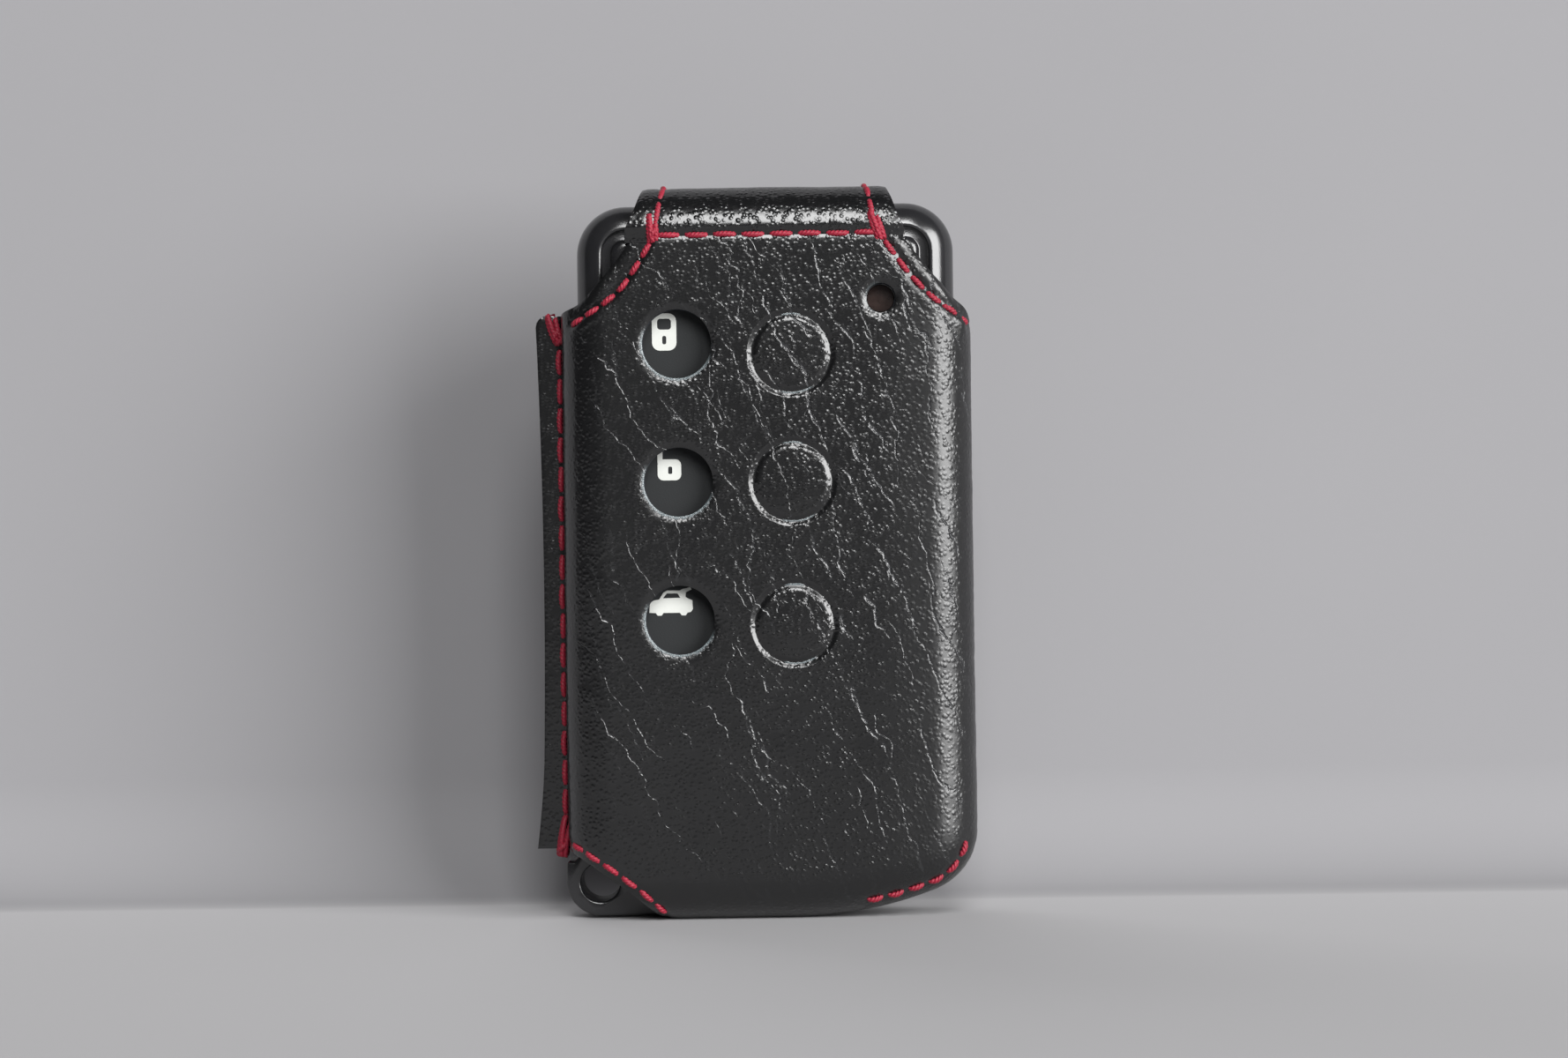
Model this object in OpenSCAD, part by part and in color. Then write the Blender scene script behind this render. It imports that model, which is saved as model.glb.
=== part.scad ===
// Stitched leather cover with the smart key it holds, standing on its folded bottom.
// X runs across the front, -Y is the front and Z is up. The origin lies on the standing
// face, at the middle of the key's width and depth.

/* [Key fob] */
// Width of the key fob
fob_w = 38.5; // [36:0.5:46]
// Height of the key fob
fob_h = 71.2; // [68:0.2:84]
// Thickness of the key fob
fob_t = 13.5; // [13:0.5:17]
// Corner radius of the fob's outline
fob_corner_r = 5; // [4.5:0.25:6]
// Rounding of the fob's front and back edges
fob_edge_r = 3; // [2:0.25:4]
// Radius of the bowed right part of the fob's bottom
fob_bow_r = 40; // [35:1:80]
// Place across the width where the bottom starts to bow
fob_bow_x = 2; // [0:0.5:4]
// Wall of the moulded casing
fob_wall = 1.2; // [1:0.1:1.4]
// Width of the raised rim round the face
rim_w = 2.6; // [2.2:0.1:3]
// Width of the groove inside the rim
rim_groove_w = 0.9; // [0.6:0.1:1.2]
// Depth of the groove inside the rim
rim_groove_d = 0.6; // [0.3:0.1:0.8]
// Rounding of the pillowed face panel
panel_edge_r = 0.8; // [0.4:0.1:0.9]
// Place in the depth where the two casing shells meet
split_y = -1.5; // [-2:0.1:-1.2]
// Width of the seal between the shells
seal_w = 0.5; // [0.3:0.1:0.6]
// Depth of the seal in each shell
seal_d = 0.3; // [0.2:0.1:0.5]

/* [Buttons] */
// Width of one button
button_w = 9.6; // [8:0.1:10.4]
// Height of one button
button_h = 11; // [9:0.1:12]
// Corner radius of one button
button_r = 1.6; // [1:0.1:2.5]
// Distance between neighbouring buttons
button_pitch = 13.7; // [13.2:0.1:15]
// Distance of the buttons' middle from the fob's left side
button_in = 9.25; // [8.8:0.05:10.2]
// Height of the lowest button above the standing face
button_z = 32.3; // [28:0.1:36]
// Depth of the button face below the fob's front
button_recess = 0.25; // [0.1:0.05:0.4]
// Thickness of the button cap
button_t = 1.3; // [1:0.1:1.6]
// Width of the flange that keeps a button in
button_lip = 0.7; // [0.4:0.1:1]
// Thickness of that flange
button_lip_t = 0.5; // [0.4:0.1:0.7]
// Clearance round a button
button_gap = 0.15; // [0.1:0.05:0.3]
// Travel of a button
button_travel = 0.4; // [0.2:0.05:0.5]

/* [Leather] */
// Thickness of the leather
leather_t = 1.1; // [0.8:0.1:1.6]
// Thickness of the lining
lining_t = 0.4; // [0.3:0.1:0.6]
// Clearance between the lining and the fob
fit_gap = 0.2; // [0.1:0.05:0.4]
// Drop of the front panel's top edge below the top of the fob
panel_drop = 3.4; // [3:0.1:6]
// Drop of the back panel's top edge below the front's
back_drop = 2.5; // [2:0.1:6]
// Diameter of the punched button holes
punch_d = 7; // [6:0.1:8]
// Distance of the punched holes from the cover's left side
punch_in = 11.9; // [11.4:0.05:12.4]
// Height of the lowest punched hole
punch_z = 30.6; // [29.5:0.1:32]
// Distance between the punched holes
punch_pitch = 14; // [13.5:0.1:14.5]
// Diameter of the embossed circles
emboss_d = 8; // [6:0.1:9]
// Distance of the embossed circles from the cover's right side
emboss_in = 18.4; // [16:0.05:19]
// Heights of the embossed circles
emboss_z = [30.1, 44.5, 57.5]; // [28:0.1:60]
// Width of the embossed groove
emboss_w = 0.45; // [0.3:0.05:0.7]
// Depth of the embossed groove
emboss_depth = 0.35; // [0.2:0.05:0.6]
// Diameter of the indicator hole
led_d = 3; // [2.4:0.1:3.6]
// Distance of the indicator hole from the cover's right side
led_in = 9.25; // [9:0.05:11]
// Drop of the indicator hole below the top of the fob
led_drop = 9.9; // [9:0.1:12]

/* [Seam flange] */
// Reach of the sewn flange past the cover's side
flange_w = 1.8; // [1.4:0.1:3]
// Extra reach of the flange at its two ends
flange_flare = 0.5; // [0:0.1:1]
// Height of the flange's lower end
flange_low = 7.1; // [6.5:0.1:10]
// Drop of the flange's upper end below the top of the fob
flange_drop = 10.9; // [10:0.1:16]
// Rounding of the flange's upper corner
flange_r = 1.2; // [0.6:0.1:1.6]

/* [Cut-outs] */
// Reach of the left shoulder's cut from the side
shoulder_left_w = 7.55; // [7:0.05:9]
// Reach of the right shoulder's cut from the side
shoulder_right_w = 7.25; // [6.5:0.05:9]
// Drop of the left shoulder's foot below the top of the fob
shoulder_left_drop = 11; // [10:0.1:15]
// Drop of the right shoulder's foot below the top of the fob
shoulder_right_drop = 12.8; // [11:0.1:16]
// Width of the ring opening in the lower left corner
ring_cut_w = 9.45; // [9:0.05:10.5]
// Height of the opening in the lower right corner
heel_cut_h = 7.6; // [6:0.1:9]
// Reach of the lower right opening from the side
heel_cut_w = 10.5; // [8:0.1:12]
// Half depth of the lower right opening
heel_cut_t = 4.3; // [3:0.1:5]

/* [Top strap] */
// Clearance between the strap and what it passes over
strap_gap = 0.3; // [0.2:0.05:0.6]
// Gap between the strap's root and the front panel
hinge_gap = 0.45; // [0.35:0.05:0.7]
// Distance of the strap's sides from the cover's over the top
strap_in = 8.75; // [8:0.05:11]
// Radius of the strap's tip and half width there
strap_tip_r = 8; // [7:0.1:10]
// Rounding of the strap over the back edge
strap_back_r = 5; // [4.5:0.1:5.5]
// Distance of the snap below the top of the fob
snap_drop = 22; // [16:0.5:26]

/* [Bottom tongue] */
// Distance of the tongue's sides from the cover's
tongue_in = 11.75; // [11.45:0.05:14]
// Height of the tongue's end
tongue_h = 13; // [10:0.1:18]
// Corner radius of the tongue's end
tongue_r = 3; // [1:0.1:5]

/* [Snap] */
// Radius of the snap's cap
cap_r = 5; // [4:0.1:6]
// Height of the snap's cap
cap_t = 0.85; // [0.5:0.05:1.2]
// Radius of the stud
stud_r = 1.6; // [1.2:0.05:1.7]
// Height of the stud above the leather
stud_h = 1.2; // [0.8:0.05:1.3]
// Radius of the stud's base
stud_base_r = 2.8; // [2.4:0.1:3.2]
// Outer radius of the socket
socket_r = 3; // [2.8:0.1:3.6]
// Radius of the socket's well
socket_well_r = 2.35; // [2.2:0.05:2.6]

/* [Thread] */
// Radius of the sewing thread
thread_r = 0.3; // [0.2:0.02:0.34]
// Distance from one stitch to the next
stitch_pitch = 2.93; // [2.4:0.01:3.6]
// Distance from one stitch to the next round the cut corners
curve_pitch = 2.3; // [2:0.05:3]
// Space between two stitches
stitch_space = 0.45; // [0.3:0.05:0.8]
// Length of the bar tacks at the ends of the side seam
tack_l = 3.2; // [2:0.1:4]
// Distance of the left shoulder's stitches from the edge
margin_left = 1.7; // [1.3:0.1:1.8]
// Distance of the right shoulder's stitches from the edge
margin_right = 2; // [1.2:0.1:2.2]
// Distance of the ring opening's stitches from the edge
margin_ring = 0.9; // [0.7:0.1:1.2]
// Distance of the strap's and tongue's stitches from the edge
margin_strap = 2; // [1.2:0.1:2.4]

/* [Emergency key] */
// Radius of the ring eye
eye_r = 2; // [1.4:0.05:2.1]
// Width of the rim round the eye
eye_rim = 1.4; // [1:0.05:1.5]
// Distance of the eye's middle from the cover's left side
eye_in = 3.2; // [3:0.05:3.6]
// Height of the eye
eye_z = 3.7; // [3.65:0.05:4]
// Thickness of the ring loop
loop_t = 6.5; // [4:0.1:8]
// Thickness of the key's head
head_t = 10.4; // [8:0.1:11]
// Width of the key's head
head_w = 7.25; // [6.5:0.05:7.4]
// Height of the head's top above the standing face
head_top = 8.7; // [8.2:0.1:10]
// Height of the head's lower edge above the standing face
head_low = 4.8; // [4:0.1:5.5]
// Width of the blade
blade_w = 5.8; // [5:0.1:5.9]
// Thickness of the blade
blade_t = 2; // [1.5:0.1:2]
// Length of the blade above the head
blade_l = 46; // [36:1:50]
// Clearance round the blade and head
key_gap = 0.2; // [0.1:0.05:0.25]

/* [Electronics] */
// Thickness of the circuit board
board_t = 1; // [0.8:0.1:1.2]
// Thickness of the rubber membrane
membrane_t = 0.5; // [0.4:0.1:0.6]
// Height of a dome switch
dome_h = 0.7; // [0.5:0.1:0.8]
// Radius of a dome switch
dome_r = 2.2; // [1.5:0.1:3]
// Radius of the coin cell
cell_r = 10; // [8:0.5:10]
// Thickness of the coin cell
cell_t = 3.2; // [2.5:0.1:3.2]
// Distance of the coin cell's middle from the fob's right side
cell_in = 12.85; // [12.5:0.05:13.5]
// Height of the coin cell's middle
cell_z = 24; // [22:0.5:30]

/* [Hidden] */
$fn = 48;
// Steps of a quarter turn in an outline
arc_steps = 8;
// Overrun of every cut past the face that it opens
over = 1;

// Stack from the cover's outer surface inward, and the depths of each layer
wrap_t = leather_t + lining_t + fit_gap;
lining_depth = leather_t;
inner_depth = leather_t + lining_t;
casing_depth = wrap_t;
cavity_depth = wrap_t + fob_wall;
groove_depth = wrap_t + rim_w;
panel_depth = groove_depth + rim_groove_w;
half_w = fob_w / 2 + wrap_t;
half_t = fob_t / 2 + wrap_t;
top_z = fob_h + 2 * wrap_t;
fob_top = fob_h + wrap_t;
fob_front = -fob_t / 2;
fob_back = fob_t / 2;

// Places across the width, and heights below the top of the fob
button_x = button_in - fob_w / 2;
punch_x = punch_in - half_w;
emboss_x = half_w - emboss_in;
led_x = half_w - led_in;
eye_x = eye_in - half_w;
cell_x = fob_w / 2 - cell_in;
root_left = half_w - shoulder_left_w;
root_right = half_w - shoulder_right_w;
strap_top_half = half_w - strap_in;
tongue_half = half_w - tongue_in;
panel_top = fob_top - panel_drop;
flange_high = fob_top - flange_drop;
shoulder_left_z = fob_top - shoulder_left_drop;
shoulder_right_z = fob_top - shoulder_right_drop;
led_z = fob_top - led_drop;

// Centres of the fob outline's corners and of its bowed bottom
corner_x = fob_w / 2 - fob_corner_r;
corner_low = wrap_t + fob_corner_r;
corner_high = fob_top - fob_corner_r;
bow_z = wrap_t + fob_bow_r;
bow_drop = sqrt(pow(fob_bow_r - fob_corner_r, 2) - pow(corner_x - fob_bow_x, 2));
heel_z = bow_z - bow_drop;
bow_turn = asin((corner_x - fob_bow_x) / (fob_bow_r - fob_corner_r));

// Points along an arc about a centre
function arc(c, r, from, to, steps = arc_steps) =
  [for (i = [0:steps]) let (a = from + (to - from) * i / steps) c + r * [cos(a), sin(a)]];

// Front outline, a given depth inside the cover's outer surface
function outline(d) = let (r = fob_corner_r + wrap_t - d) concat(
  arc([-corner_x, corner_low], r, 180, 270),
  arc([fob_bow_x, bow_z], fob_bow_r + wrap_t - d, 270, 270 + bow_turn),
  arc([corner_x, heel_z], r, 270 + bow_turn, 360),
  arc([corner_x, corner_high], r, 0, 90),
  arc([-corner_x, corner_high], r, 90, 180));

// Rounded rectangle between two corners
function round_box(low, high, r) = concat(
  arc([high[0] - r, high[1] - r], r, 0, 90), arc([low[0] + r, high[1] - r], r, 90, 180),
  arc([low[0] + r, low[1] + r], r, 180, 270), arc([high[0] - r, low[1] + r], r, 270, 360));

// Extrudes an X-Z profile along Y
module along_y(y0, y1) {
  translate([0, y1, 0])
    rotate([90, 0, 0])
      linear_extrude(y1 - y0)
        children();
}

// Extrudes a Y-Z profile along X
module along_x(x0, x1) {
  translate([x0, 0, 0])
    rotate([90, 0, 90])
      linear_extrude(x1 - x0)
        children();
}

// Cylinder along Y at a place in the front view
module pin_y(x, z, r, y0, y1) {
  translate([x, y1, z])
    rotate([90, 0, 0])
      cylinder(r = r, h = y1 - y0);
}

// Box between two corners
module box(low, high) {
  translate(low)
    cube(high - low);
}

// Slab with rounded edges, a given depth inside the cover's outer surface
module soft_slab(d, edge_r = fob_edge_r + wrap_t) {
  r = edge_r - d;
  w = half_w - d;
  t = half_t - d;
  intersection() {
    along_y(-t, t)
      polygon(outline(d));
    linear_extrude(top_z)
      polygon(round_box([-w, -t], [w, t], r));
    along_x(-w, w)
      polygon(round_box([-t, d], [t, top_z - d], r));
  }
}

// Cut edges of the leather, as shares of each cut's width and height from the side inward
left_shoulder_shares = [[0, 0], [0.31, 0.19], [0.56, 0.43], [0.8, 0.71], [1, 1]];
right_shoulder_shares = [[0, 0], [0.05, 0.2], [0.27, 0.38], [0.64, 0.64], [0.9, 0.92], [1, 1]];
ring_cut_shares = [[0, 1], [0.2, 0.87], [0.42, 0.66], [0.66, 0.45], [0.84, 0.22], [1, 0]];

function cut_edge(from, to, shares) =
  [for (s = shares) [from[0] + (to[0] - from[0]) * s[0], from[1] + (to[1] - from[1]) * s[1]]];

left_shoulder =
  cut_edge([-half_w, shoulder_left_z], [-root_left, panel_top], left_shoulder_shares);
right_shoulder =
  cut_edge([half_w, shoulder_right_z], [root_right, panel_top], right_shoulder_shares);
ring_cut =
  cut_edge([-half_w, 0], [ring_cut_w - half_w, flange_low], ring_cut_shares);

function reversed(list) = [for (i = [len(list) - 1:-1:0]) list[i]];

// Outer edge of the sewn flange, flared at both ends
flange_x = -half_w - flange_w;
flange_steps = 8;
flange_rise = flange_high - flange_r - flange_low;
flange_edge = [for (i = [0:flange_steps]) let (u = i / flange_steps)
  [flange_x - flange_flare * pow(2 * u - 1, 2), flange_low + flange_rise * u]];
flange_corner =
  arc([flange_x - flange_flare + flange_r, flange_high - flange_r], flange_r, 180, 90);

// Front view of the cut leather
silhouette = concat(
  [[ring_cut_w - half_w, -over], [half_w + over, -over], [half_w + over, shoulder_right_z]],
  right_shoulder, reversed(left_shoulder), reversed(flange_corner), reversed(flange_edge),
  ring_cut);

// Sleeve wall between two depths, with the sewn flange's layers
module sleeve(outer, inner) {
  intersection() {
    difference() {
      union() {
        difference() {
          soft_slab(outer);
          soft_slab(inner);
        }
        flange_layers(outer, inner);
      }
      if (outer == 0)
        box([-half_w - over, -lining_t, 0], [-half_w + inner, lining_t, top_z]);
    }
    along_y(-half_t - over, half_t + over)
      polygon(silhouette);
  }
}

// Layers of the flange: leather outside, lining between
module flange_layers(outer, inner) {
  reach = flange_x - flange_flare;
  if (outer == 0) {
    for (side = [-1, 1])
      box([reach, side < 0 ? -lining_t - leather_t : lining_t, 0],
        [-half_w + leather_t, side < 0 ? -lining_t : lining_t + leather_t, top_z]);
  } else {
    box([reach, -lining_t, 0], [-half_w + inner, lining_t, top_z]);
  }
}

// Openings cut through the sleeve: button and indicator holes, corner gates, the notch that
// frees the ring eye at the back, back edge
module sleeve_openings() {
  for (i = [0:2])
    pin_y(punch_x, punch_z + i * punch_pitch, punch_d / 2, -half_t - over, fob_front);
  pin_y(led_x, led_z, led_d / 2, -half_t - over, fob_front);
  box([half_w - heel_cut_w, -heel_cut_t, -over], [half_w + over, heel_cut_t, heel_cut_h]);
  box([-half_w - over, -head_t / 2 - key_gap, -over],
    [head_right + 2 * key_gap, head_t / 2 + key_gap, flange_low]);
  pin_y(eye_x, eye_z, eye_out, 0, half_t + over);
  box([-half_w, fob_back, panel_top - back_drop], [half_w, half_t + over, top_z]);
}

// Ring-shaped groove of an embossed circle
module emboss_ring(x, z) {
  difference() {
    pin_y(x, z, (emboss_d + emboss_w) / 2, -half_t - over, -half_t + emboss_depth);
    pin_y(x, z, (emboss_d - emboss_w) / 2, -half_t - 2 * over, -half_t + 2 * emboss_depth);
  }
}

// Tongue of the bottom, folded up the back and sewn down
module tongue() {
  reach = half_t + leather_t;
  r = fob_edge_r + wrap_t + leather_t;
  intersection() {
    along_y(0, reach)
      polygon(round_box([-tongue_half, -tongue_r], [tongue_half, tongue_h], tongue_r));
    difference() {
      along_x(-tongue_half, tongue_half)
        polygon(concat(
          [[0, tongue_h], [0, 0]], arc([reach - r, r], r, 270, 360), [[reach, tongue_h]]));
      soft_slab(leather_t / 2);
    }
  }
}

// Wraps front, right side and back, with both ends turned out as the flange
module outer_leather() {
  color("#222222")
    difference() {
      union() {
        sleeve(0, lining_depth);
        tongue();
      }
      sleeve_openings();
      for (z = emboss_z)
        emboss_ring(emboss_x, z);
      pin_y(0, snap_z, stud_base_r, half_t - stud_seat, half_t + over);
      pin_y(0, snap_z, shank_r, fob_back, half_t + over);
    }
}

module lining() {
  color("#3b4048")
    difference() {
      sleeve(lining_depth, inner_depth);
      sleeve_openings();
      pin_y(0, snap_z, post_r, fob_back, half_t + over);
    }
}

// Top strap: front arc round the fob's edge, flat top, wider arc to the back leg
strap_t = leather_t + lining_t;
strap_front_c = [fob_front + fob_edge_r, fob_top - fob_edge_r];
strap_in_r = fob_edge_r + strap_gap;
strap_back_y = half_t + strap_gap;
strap_in_z = fob_top + strap_gap;
strap_back_c = [strap_back_y - strap_back_r, strap_in_z - strap_back_r];
root_z = panel_top + hinge_gap;
snap_z = fob_top - snap_drop;
strap_tip_z = snap_z - strap_tip_r;

// Side view of one strap layer, a given height above the strap's inner surface
function strap_line(h) = concat(
  [[strap_front_c[0] - strap_in_r - h, root_z]],
  arc(strap_front_c, strap_in_r + h, 180, 90),
  arc(strap_back_c, strap_back_r + h, 90, 0),
  [[strap_back_y + h, strap_tip_z]]);

// Front view of the strap: the root widens, the back leg narrows to a round tip
strap_root_outline = [[-root_left, root_z], [root_right, root_z],
  [strap_top_half, strap_in_z], [strap_top_half, top_z + over],
  [-strap_top_half, top_z + over], [-strap_top_half, strap_in_z]];
function leg_outline(m) = concat(
  [[strap_top_half - m, top_z + over], [strap_top_half - m, strap_in_z]],
  arc([0, snap_z], strap_tip_r - m, 0, -180, 2 * arc_steps),
  [[-strap_top_half + m, strap_in_z], [-strap_top_half + m, top_z + over]]);

module strap_layer(low, high) {
  difference() {
    intersection() {
      along_x(-root_right - over, root_right + over)
        polygon(concat(strap_line(high), reversed(strap_line(low))));
      union() {
        along_y(-half_t - strap_gap - over, 0)
          polygon(strap_root_outline);
        along_y(0, strap_back_y + strap_t + over)
          polygon(leg_outline(0));
      }
    }
    pin_y(0, snap_z, socket_r, 0, strap_back_y + strap_t + over);
  }
}

module top_strap() {
  color("#242424")
    strap_layer(lining_t, strap_t);
}

module strap_lining() {
  color("#3b4048")
    strap_layer(0, lining_t);
}

// One stitch: a rod with tapered ends between two points
stitch_end_share = 0.55;
stitch_end_r = thread_r * stitch_end_share;
module stitch(p, q) {
  v = q - p;
  l = norm(v);
  translate((p + q) / 2)
    rotate([0, acos(v[2] / l), atan2(v[1], v[0])])
      rotate_extrude($fn = 16)
        polygon([[0, -l / 2], [stitch_end_r, -l / 2], [thread_r, thread_r - l / 2],
          [thread_r, l / 2 - thread_r], [stitch_end_r, l / 2], [0, l / 2]]);
}

// Length along a route up to each point, and the place at a given length
function run(route, i) = i == 0 ? 0 : run(route, i - 1) + norm(route[i] - route[i - 1]);
function route_length(route) = run(route, len(route) - 1);
function leg(route, s, i = 1) =
  i == len(route) - 1 || run(route, i) >= s ? i : leg(route, s, i + 1);
function place(route, s) = let (i = leg(route, s), a = run(route, i - 1), b = run(route, i))
  route[i - 1] + (route[i] - route[i - 1]) * (s - a) / (b - a);

// Row of stitches along a route of points in space
module stitch_row(route, pitch = stitch_pitch) {
  total = route_length(route);
  count = max(1, round(total / pitch));
  step = total / count;
  half_space = stitch_space / 2;
  for (i = [0:count - 1])
    stitch(place(route, i * step + half_space), place(route, (i + 1) * step - half_space));
}

// Route moved sideways by a margin, to the left of its direction
function side_step(route, m) = [for (i = [0:len(route) - 1])
  let (a = route[max(i - 1, 0)], b = route[min(i + 1, len(route) - 1)], v = (b - a) / norm(b - a))
  route[i] + m * [-v[1], v[0]]];

// Depth of the rounded edge at a distance from the cover's outline, and the front surface
edge_out = fob_edge_r + wrap_t;
function edge_depth(s) =
  s >= edge_out ? 0 : edge_out - sqrt(pow(edge_out, 2) - pow(edge_out - max(s, 0), 2));
function front_at(x, z) = -half_t + max(edge_depth(half_w - abs(x)), edge_depth(z));
function on_front(route) = [for (p = route) [p[0], front_at(p[0], p[1]), p[1]]];

module side_seam_thread() {
  x = -half_w - thread_r;
  tack_x = x - 2 * thread_r;
  low = flange_low + stitch_space;
  high = flange_high - stitch_space;
  color("crimson")
    for (y = [-lining_t - leather_t, lining_t + leather_t]) {
      stitch_row([[x, y, low], [x, y, high]]);
      for (z = [flange_low, flange_high - tack_l])
        stitch([tack_x, y, z], [tack_x, y, z + tack_l]);
    }
}

module shoulder_thread_left() {
  color("crimson")
    stitch_row(on_front(side_step(left_shoulder, -margin_left)), curve_pitch);
}

module shoulder_thread_right() {
  color("crimson")
    stitch_row(on_front(side_step(right_shoulder, margin_right)), curve_pitch);
}

module corner_thread_left() {
  color("crimson")
    stitch_row(on_front(side_step(ring_cut, margin_ring)), curve_pitch);
}

heel_in = wrap_t - leather_t;
heel_route = concat(
  arc([fob_bow_x, bow_z], fob_bow_r + heel_in, 270 + bow_turn / 2, 270 + bow_turn),
  arc([corner_x, heel_z], fob_corner_r + heel_in, 270 + bow_turn, 350));
module corner_thread_right() {
  color("crimson")
    stitch_row(on_front(heel_route), curve_pitch);
}

tongue_seam_x = tongue_half - margin_strap / 2;
tongue_seam_z = tongue_h - margin_strap / 2;
tongue_route = [[-tongue_seam_x, corner_low], [-tongue_seam_x, tongue_seam_z],
  [tongue_seam_x, tongue_seam_z], [tongue_seam_x, corner_low]];
module tongue_thread() {
  color("crimson")
    stitch_row([for (p = tongue_route) [p[0], half_t + leather_t, p[1]]]);
}

module strap_root_thread() {
  ends = [-root_left + margin_strap, root_right - margin_strap];
  low = panel_top - stitch_space - thread_r;
  color("crimson") {
    stitch_row([[ends[0], -half_t, panel_top], [ends[1], -half_t, panel_top]]);
    for (x = [ends[0], ends[0] + 2 * thread_r, ends[1] - 2 * thread_r, ends[1]])
      stitch([x, -half_t, low], [x, -half_t, low - tack_l / 3]);
  }
}

// Place on the strap's outer surface at an angle of an arc, and the way up the front arc,
// over the top and down the back arc
function on_strap(c, r, a, x) = [x, c[0] + r * cos(a), c[1] + r * sin(a)];
strap_out_r = strap_in_r + strap_t;
strap_back_out_r = strap_back_r + strap_t;
function strap_front_at(a, x0, x1) =
  on_strap(strap_front_c, strap_out_r, a, x0 + (x1 - x0) * (180 - a) / 90);
function strap_side(x0, x1) = concat(
  [for (a = [174:-14:90]) strap_front_at(a, x0, x1)],
  [for (a = [90:-15:0]) on_strap(strap_back_c, strap_back_out_r, a, x1)]);
function leg_route() = [for (p = leg_outline(margin_strap)) if (p[1] <= strap_back_c[1])
  [p[0], strap_back_y + strap_t, p[1]]];
strap_edge_x = strap_top_half - margin_strap;
strap_route = concat(
  strap_side(-root_left + margin_strap, -strap_edge_x), reversed(leg_route()),
  reversed(strap_side(root_right - margin_strap, strap_edge_x)));
module strap_edge_thread() {
  beside = [2 * thread_r, 0, 0];
  color("crimson") {
    stitch_row(strap_route);
    for (side = [[-1, root_left], [1, root_right]]) {
      foot_x = side[0] * (side[1] - margin_strap);
      top_x = side[0] * strap_edge_x;
      stitch(strap_front_at(174, foot_x, top_x) - side[0] * beside,
        strap_front_at(146, foot_x, top_x) - side[0] * beside);
    }
  }
}

// Snap: socket and cap in the strap, stud and post in the back panel
snap_clear = 0.02;
stud_seat = 0.4;
shank_r = 1;
post_r = 3.2;
cap_shank_t = 0.25;
stud_neck_share = 0.8;
socket_top = strap_back_y + strap_t;
module snap_socket() {
  color("silver")
    difference() {
      pin_y(0, snap_z, socket_r - snap_clear, strap_back_y, socket_top - cap_shank_t);
      pin_y(0, snap_z, socket_well_r, strap_back_y - over, socket_top - cap_shank_t + over);
    }
}

module snap_cap() {
  color("silver")
    union() {
      pin_y(0, snap_z, socket_r - snap_clear, socket_top - cap_shank_t, socket_top);
      translate([0, socket_top, snap_z])
        rotate([-90, 0, 0])
          rotate_extrude()
            polygon(concat([[0, 0], [cap_r, 0], [cap_r, cap_t / 3]],
              [for (a = [15:15:90])
                [cap_r - cap_t + cap_t * cos(a), cap_t / 3 + cap_t * 2 / 3 * sin(a)]],
              [[0, cap_t]]));
    }
}

module snap_stud() {
  color("silver")
    translate([0, half_t, snap_z])
      rotate([-90, 0, 0])
        difference() {
          rotate_extrude()
            polygon(concat([[0, -stud_seat], [stud_base_r - snap_clear, -stud_seat],
              [stud_base_r - snap_clear, 0], [stud_r * stud_neck_share, 0],
              [stud_r * stud_neck_share, stud_h / 3], [stud_r, stud_h / 2]],
              [for (a = [15:15:90]) [stud_r * (1 + cos(a)) / 2, stud_h * (1 + sin(a)) / 2]],
              [[0, stud_h]]));
          translate([0, 0, -stud_seat - over])
            cylinder(r = shank_r, h = over + stud_seat / 2);
        }
}

module snap_post() {
  y = fob_back + fit_gap;
  color("silver")
    union() {
      pin_y(0, snap_z, post_r - snap_clear, y, y + lining_t - snap_clear);
      pin_y(0, snap_z, shank_r - snap_clear, y, half_t - stud_seat / 2 - snap_clear);
    }
}

// Key head and the notch that it fills in the casing's lower left corner
head_left = -fob_w / 2 + key_gap;
head_right = head_left + head_w;
notch_top = head_top + key_gap;
blade_x = (head_left + head_right + key_gap) / 2 + key_gap;
module key_notch(wall = 0) {
  box([-half_w - over, -half_t - over, -over],
    [head_right + key_gap + wall, half_t + over, notch_top + wall]);
}

// Casing without its insides
module casing_hollow() {
  difference() {
    soft_slab(cavity_depth);
    key_notch(fob_wall);
  }
}

// Seal's seat between the shells
module seal_ring(grow = 0) {
  mid = casing_depth + fob_wall / 2;
  difference() {
    along_y(split_y - seal_d - grow, split_y + seal_d + grow)
      difference() {
        polygon(outline(mid - seal_w / 2 - grow));
        polygon(outline(mid + seal_w / 2 + grow));
      }
    key_notch(fob_wall - grow);
  }
}
seal_gap = 0.02;

module casing_seal() {
  color("#404040")
    seal_ring();
}

module button_shape(i, grow, y0, y1) {
  z = button_z + i * button_pitch;
  along_y(y0, y1)
    polygon(round_box([button_x - button_w / 2 - grow, z - button_h / 2 - grow],
      [button_x + button_w / 2 + grow, z + button_h / 2 + grow], button_r + grow));
}

// Face panel inside the rim, rounded down into the groove
face_t = fob_wall;
panel_back = fob_front + face_t;
module face_groove() {
  difference() {
    along_y(fob_front - over, fob_front + rim_groove_d)
      polygon(outline(groove_depth));
    intersection() {
      along_y(fob_front - 2 * over, fob_front + 2 * rim_groove_d)
        polygon(outline(panel_depth));
      linear_extrude(top_z)
        polygon(round_box(
          [panel_depth - half_w, fob_front], [half_w - panel_depth, fob_back], panel_edge_r));
      along_x(-half_w, half_w)
        polygon(round_box(
          [fob_front, panel_depth], [fob_back, top_z - panel_depth], panel_edge_r));
    }
  }
}

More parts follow.
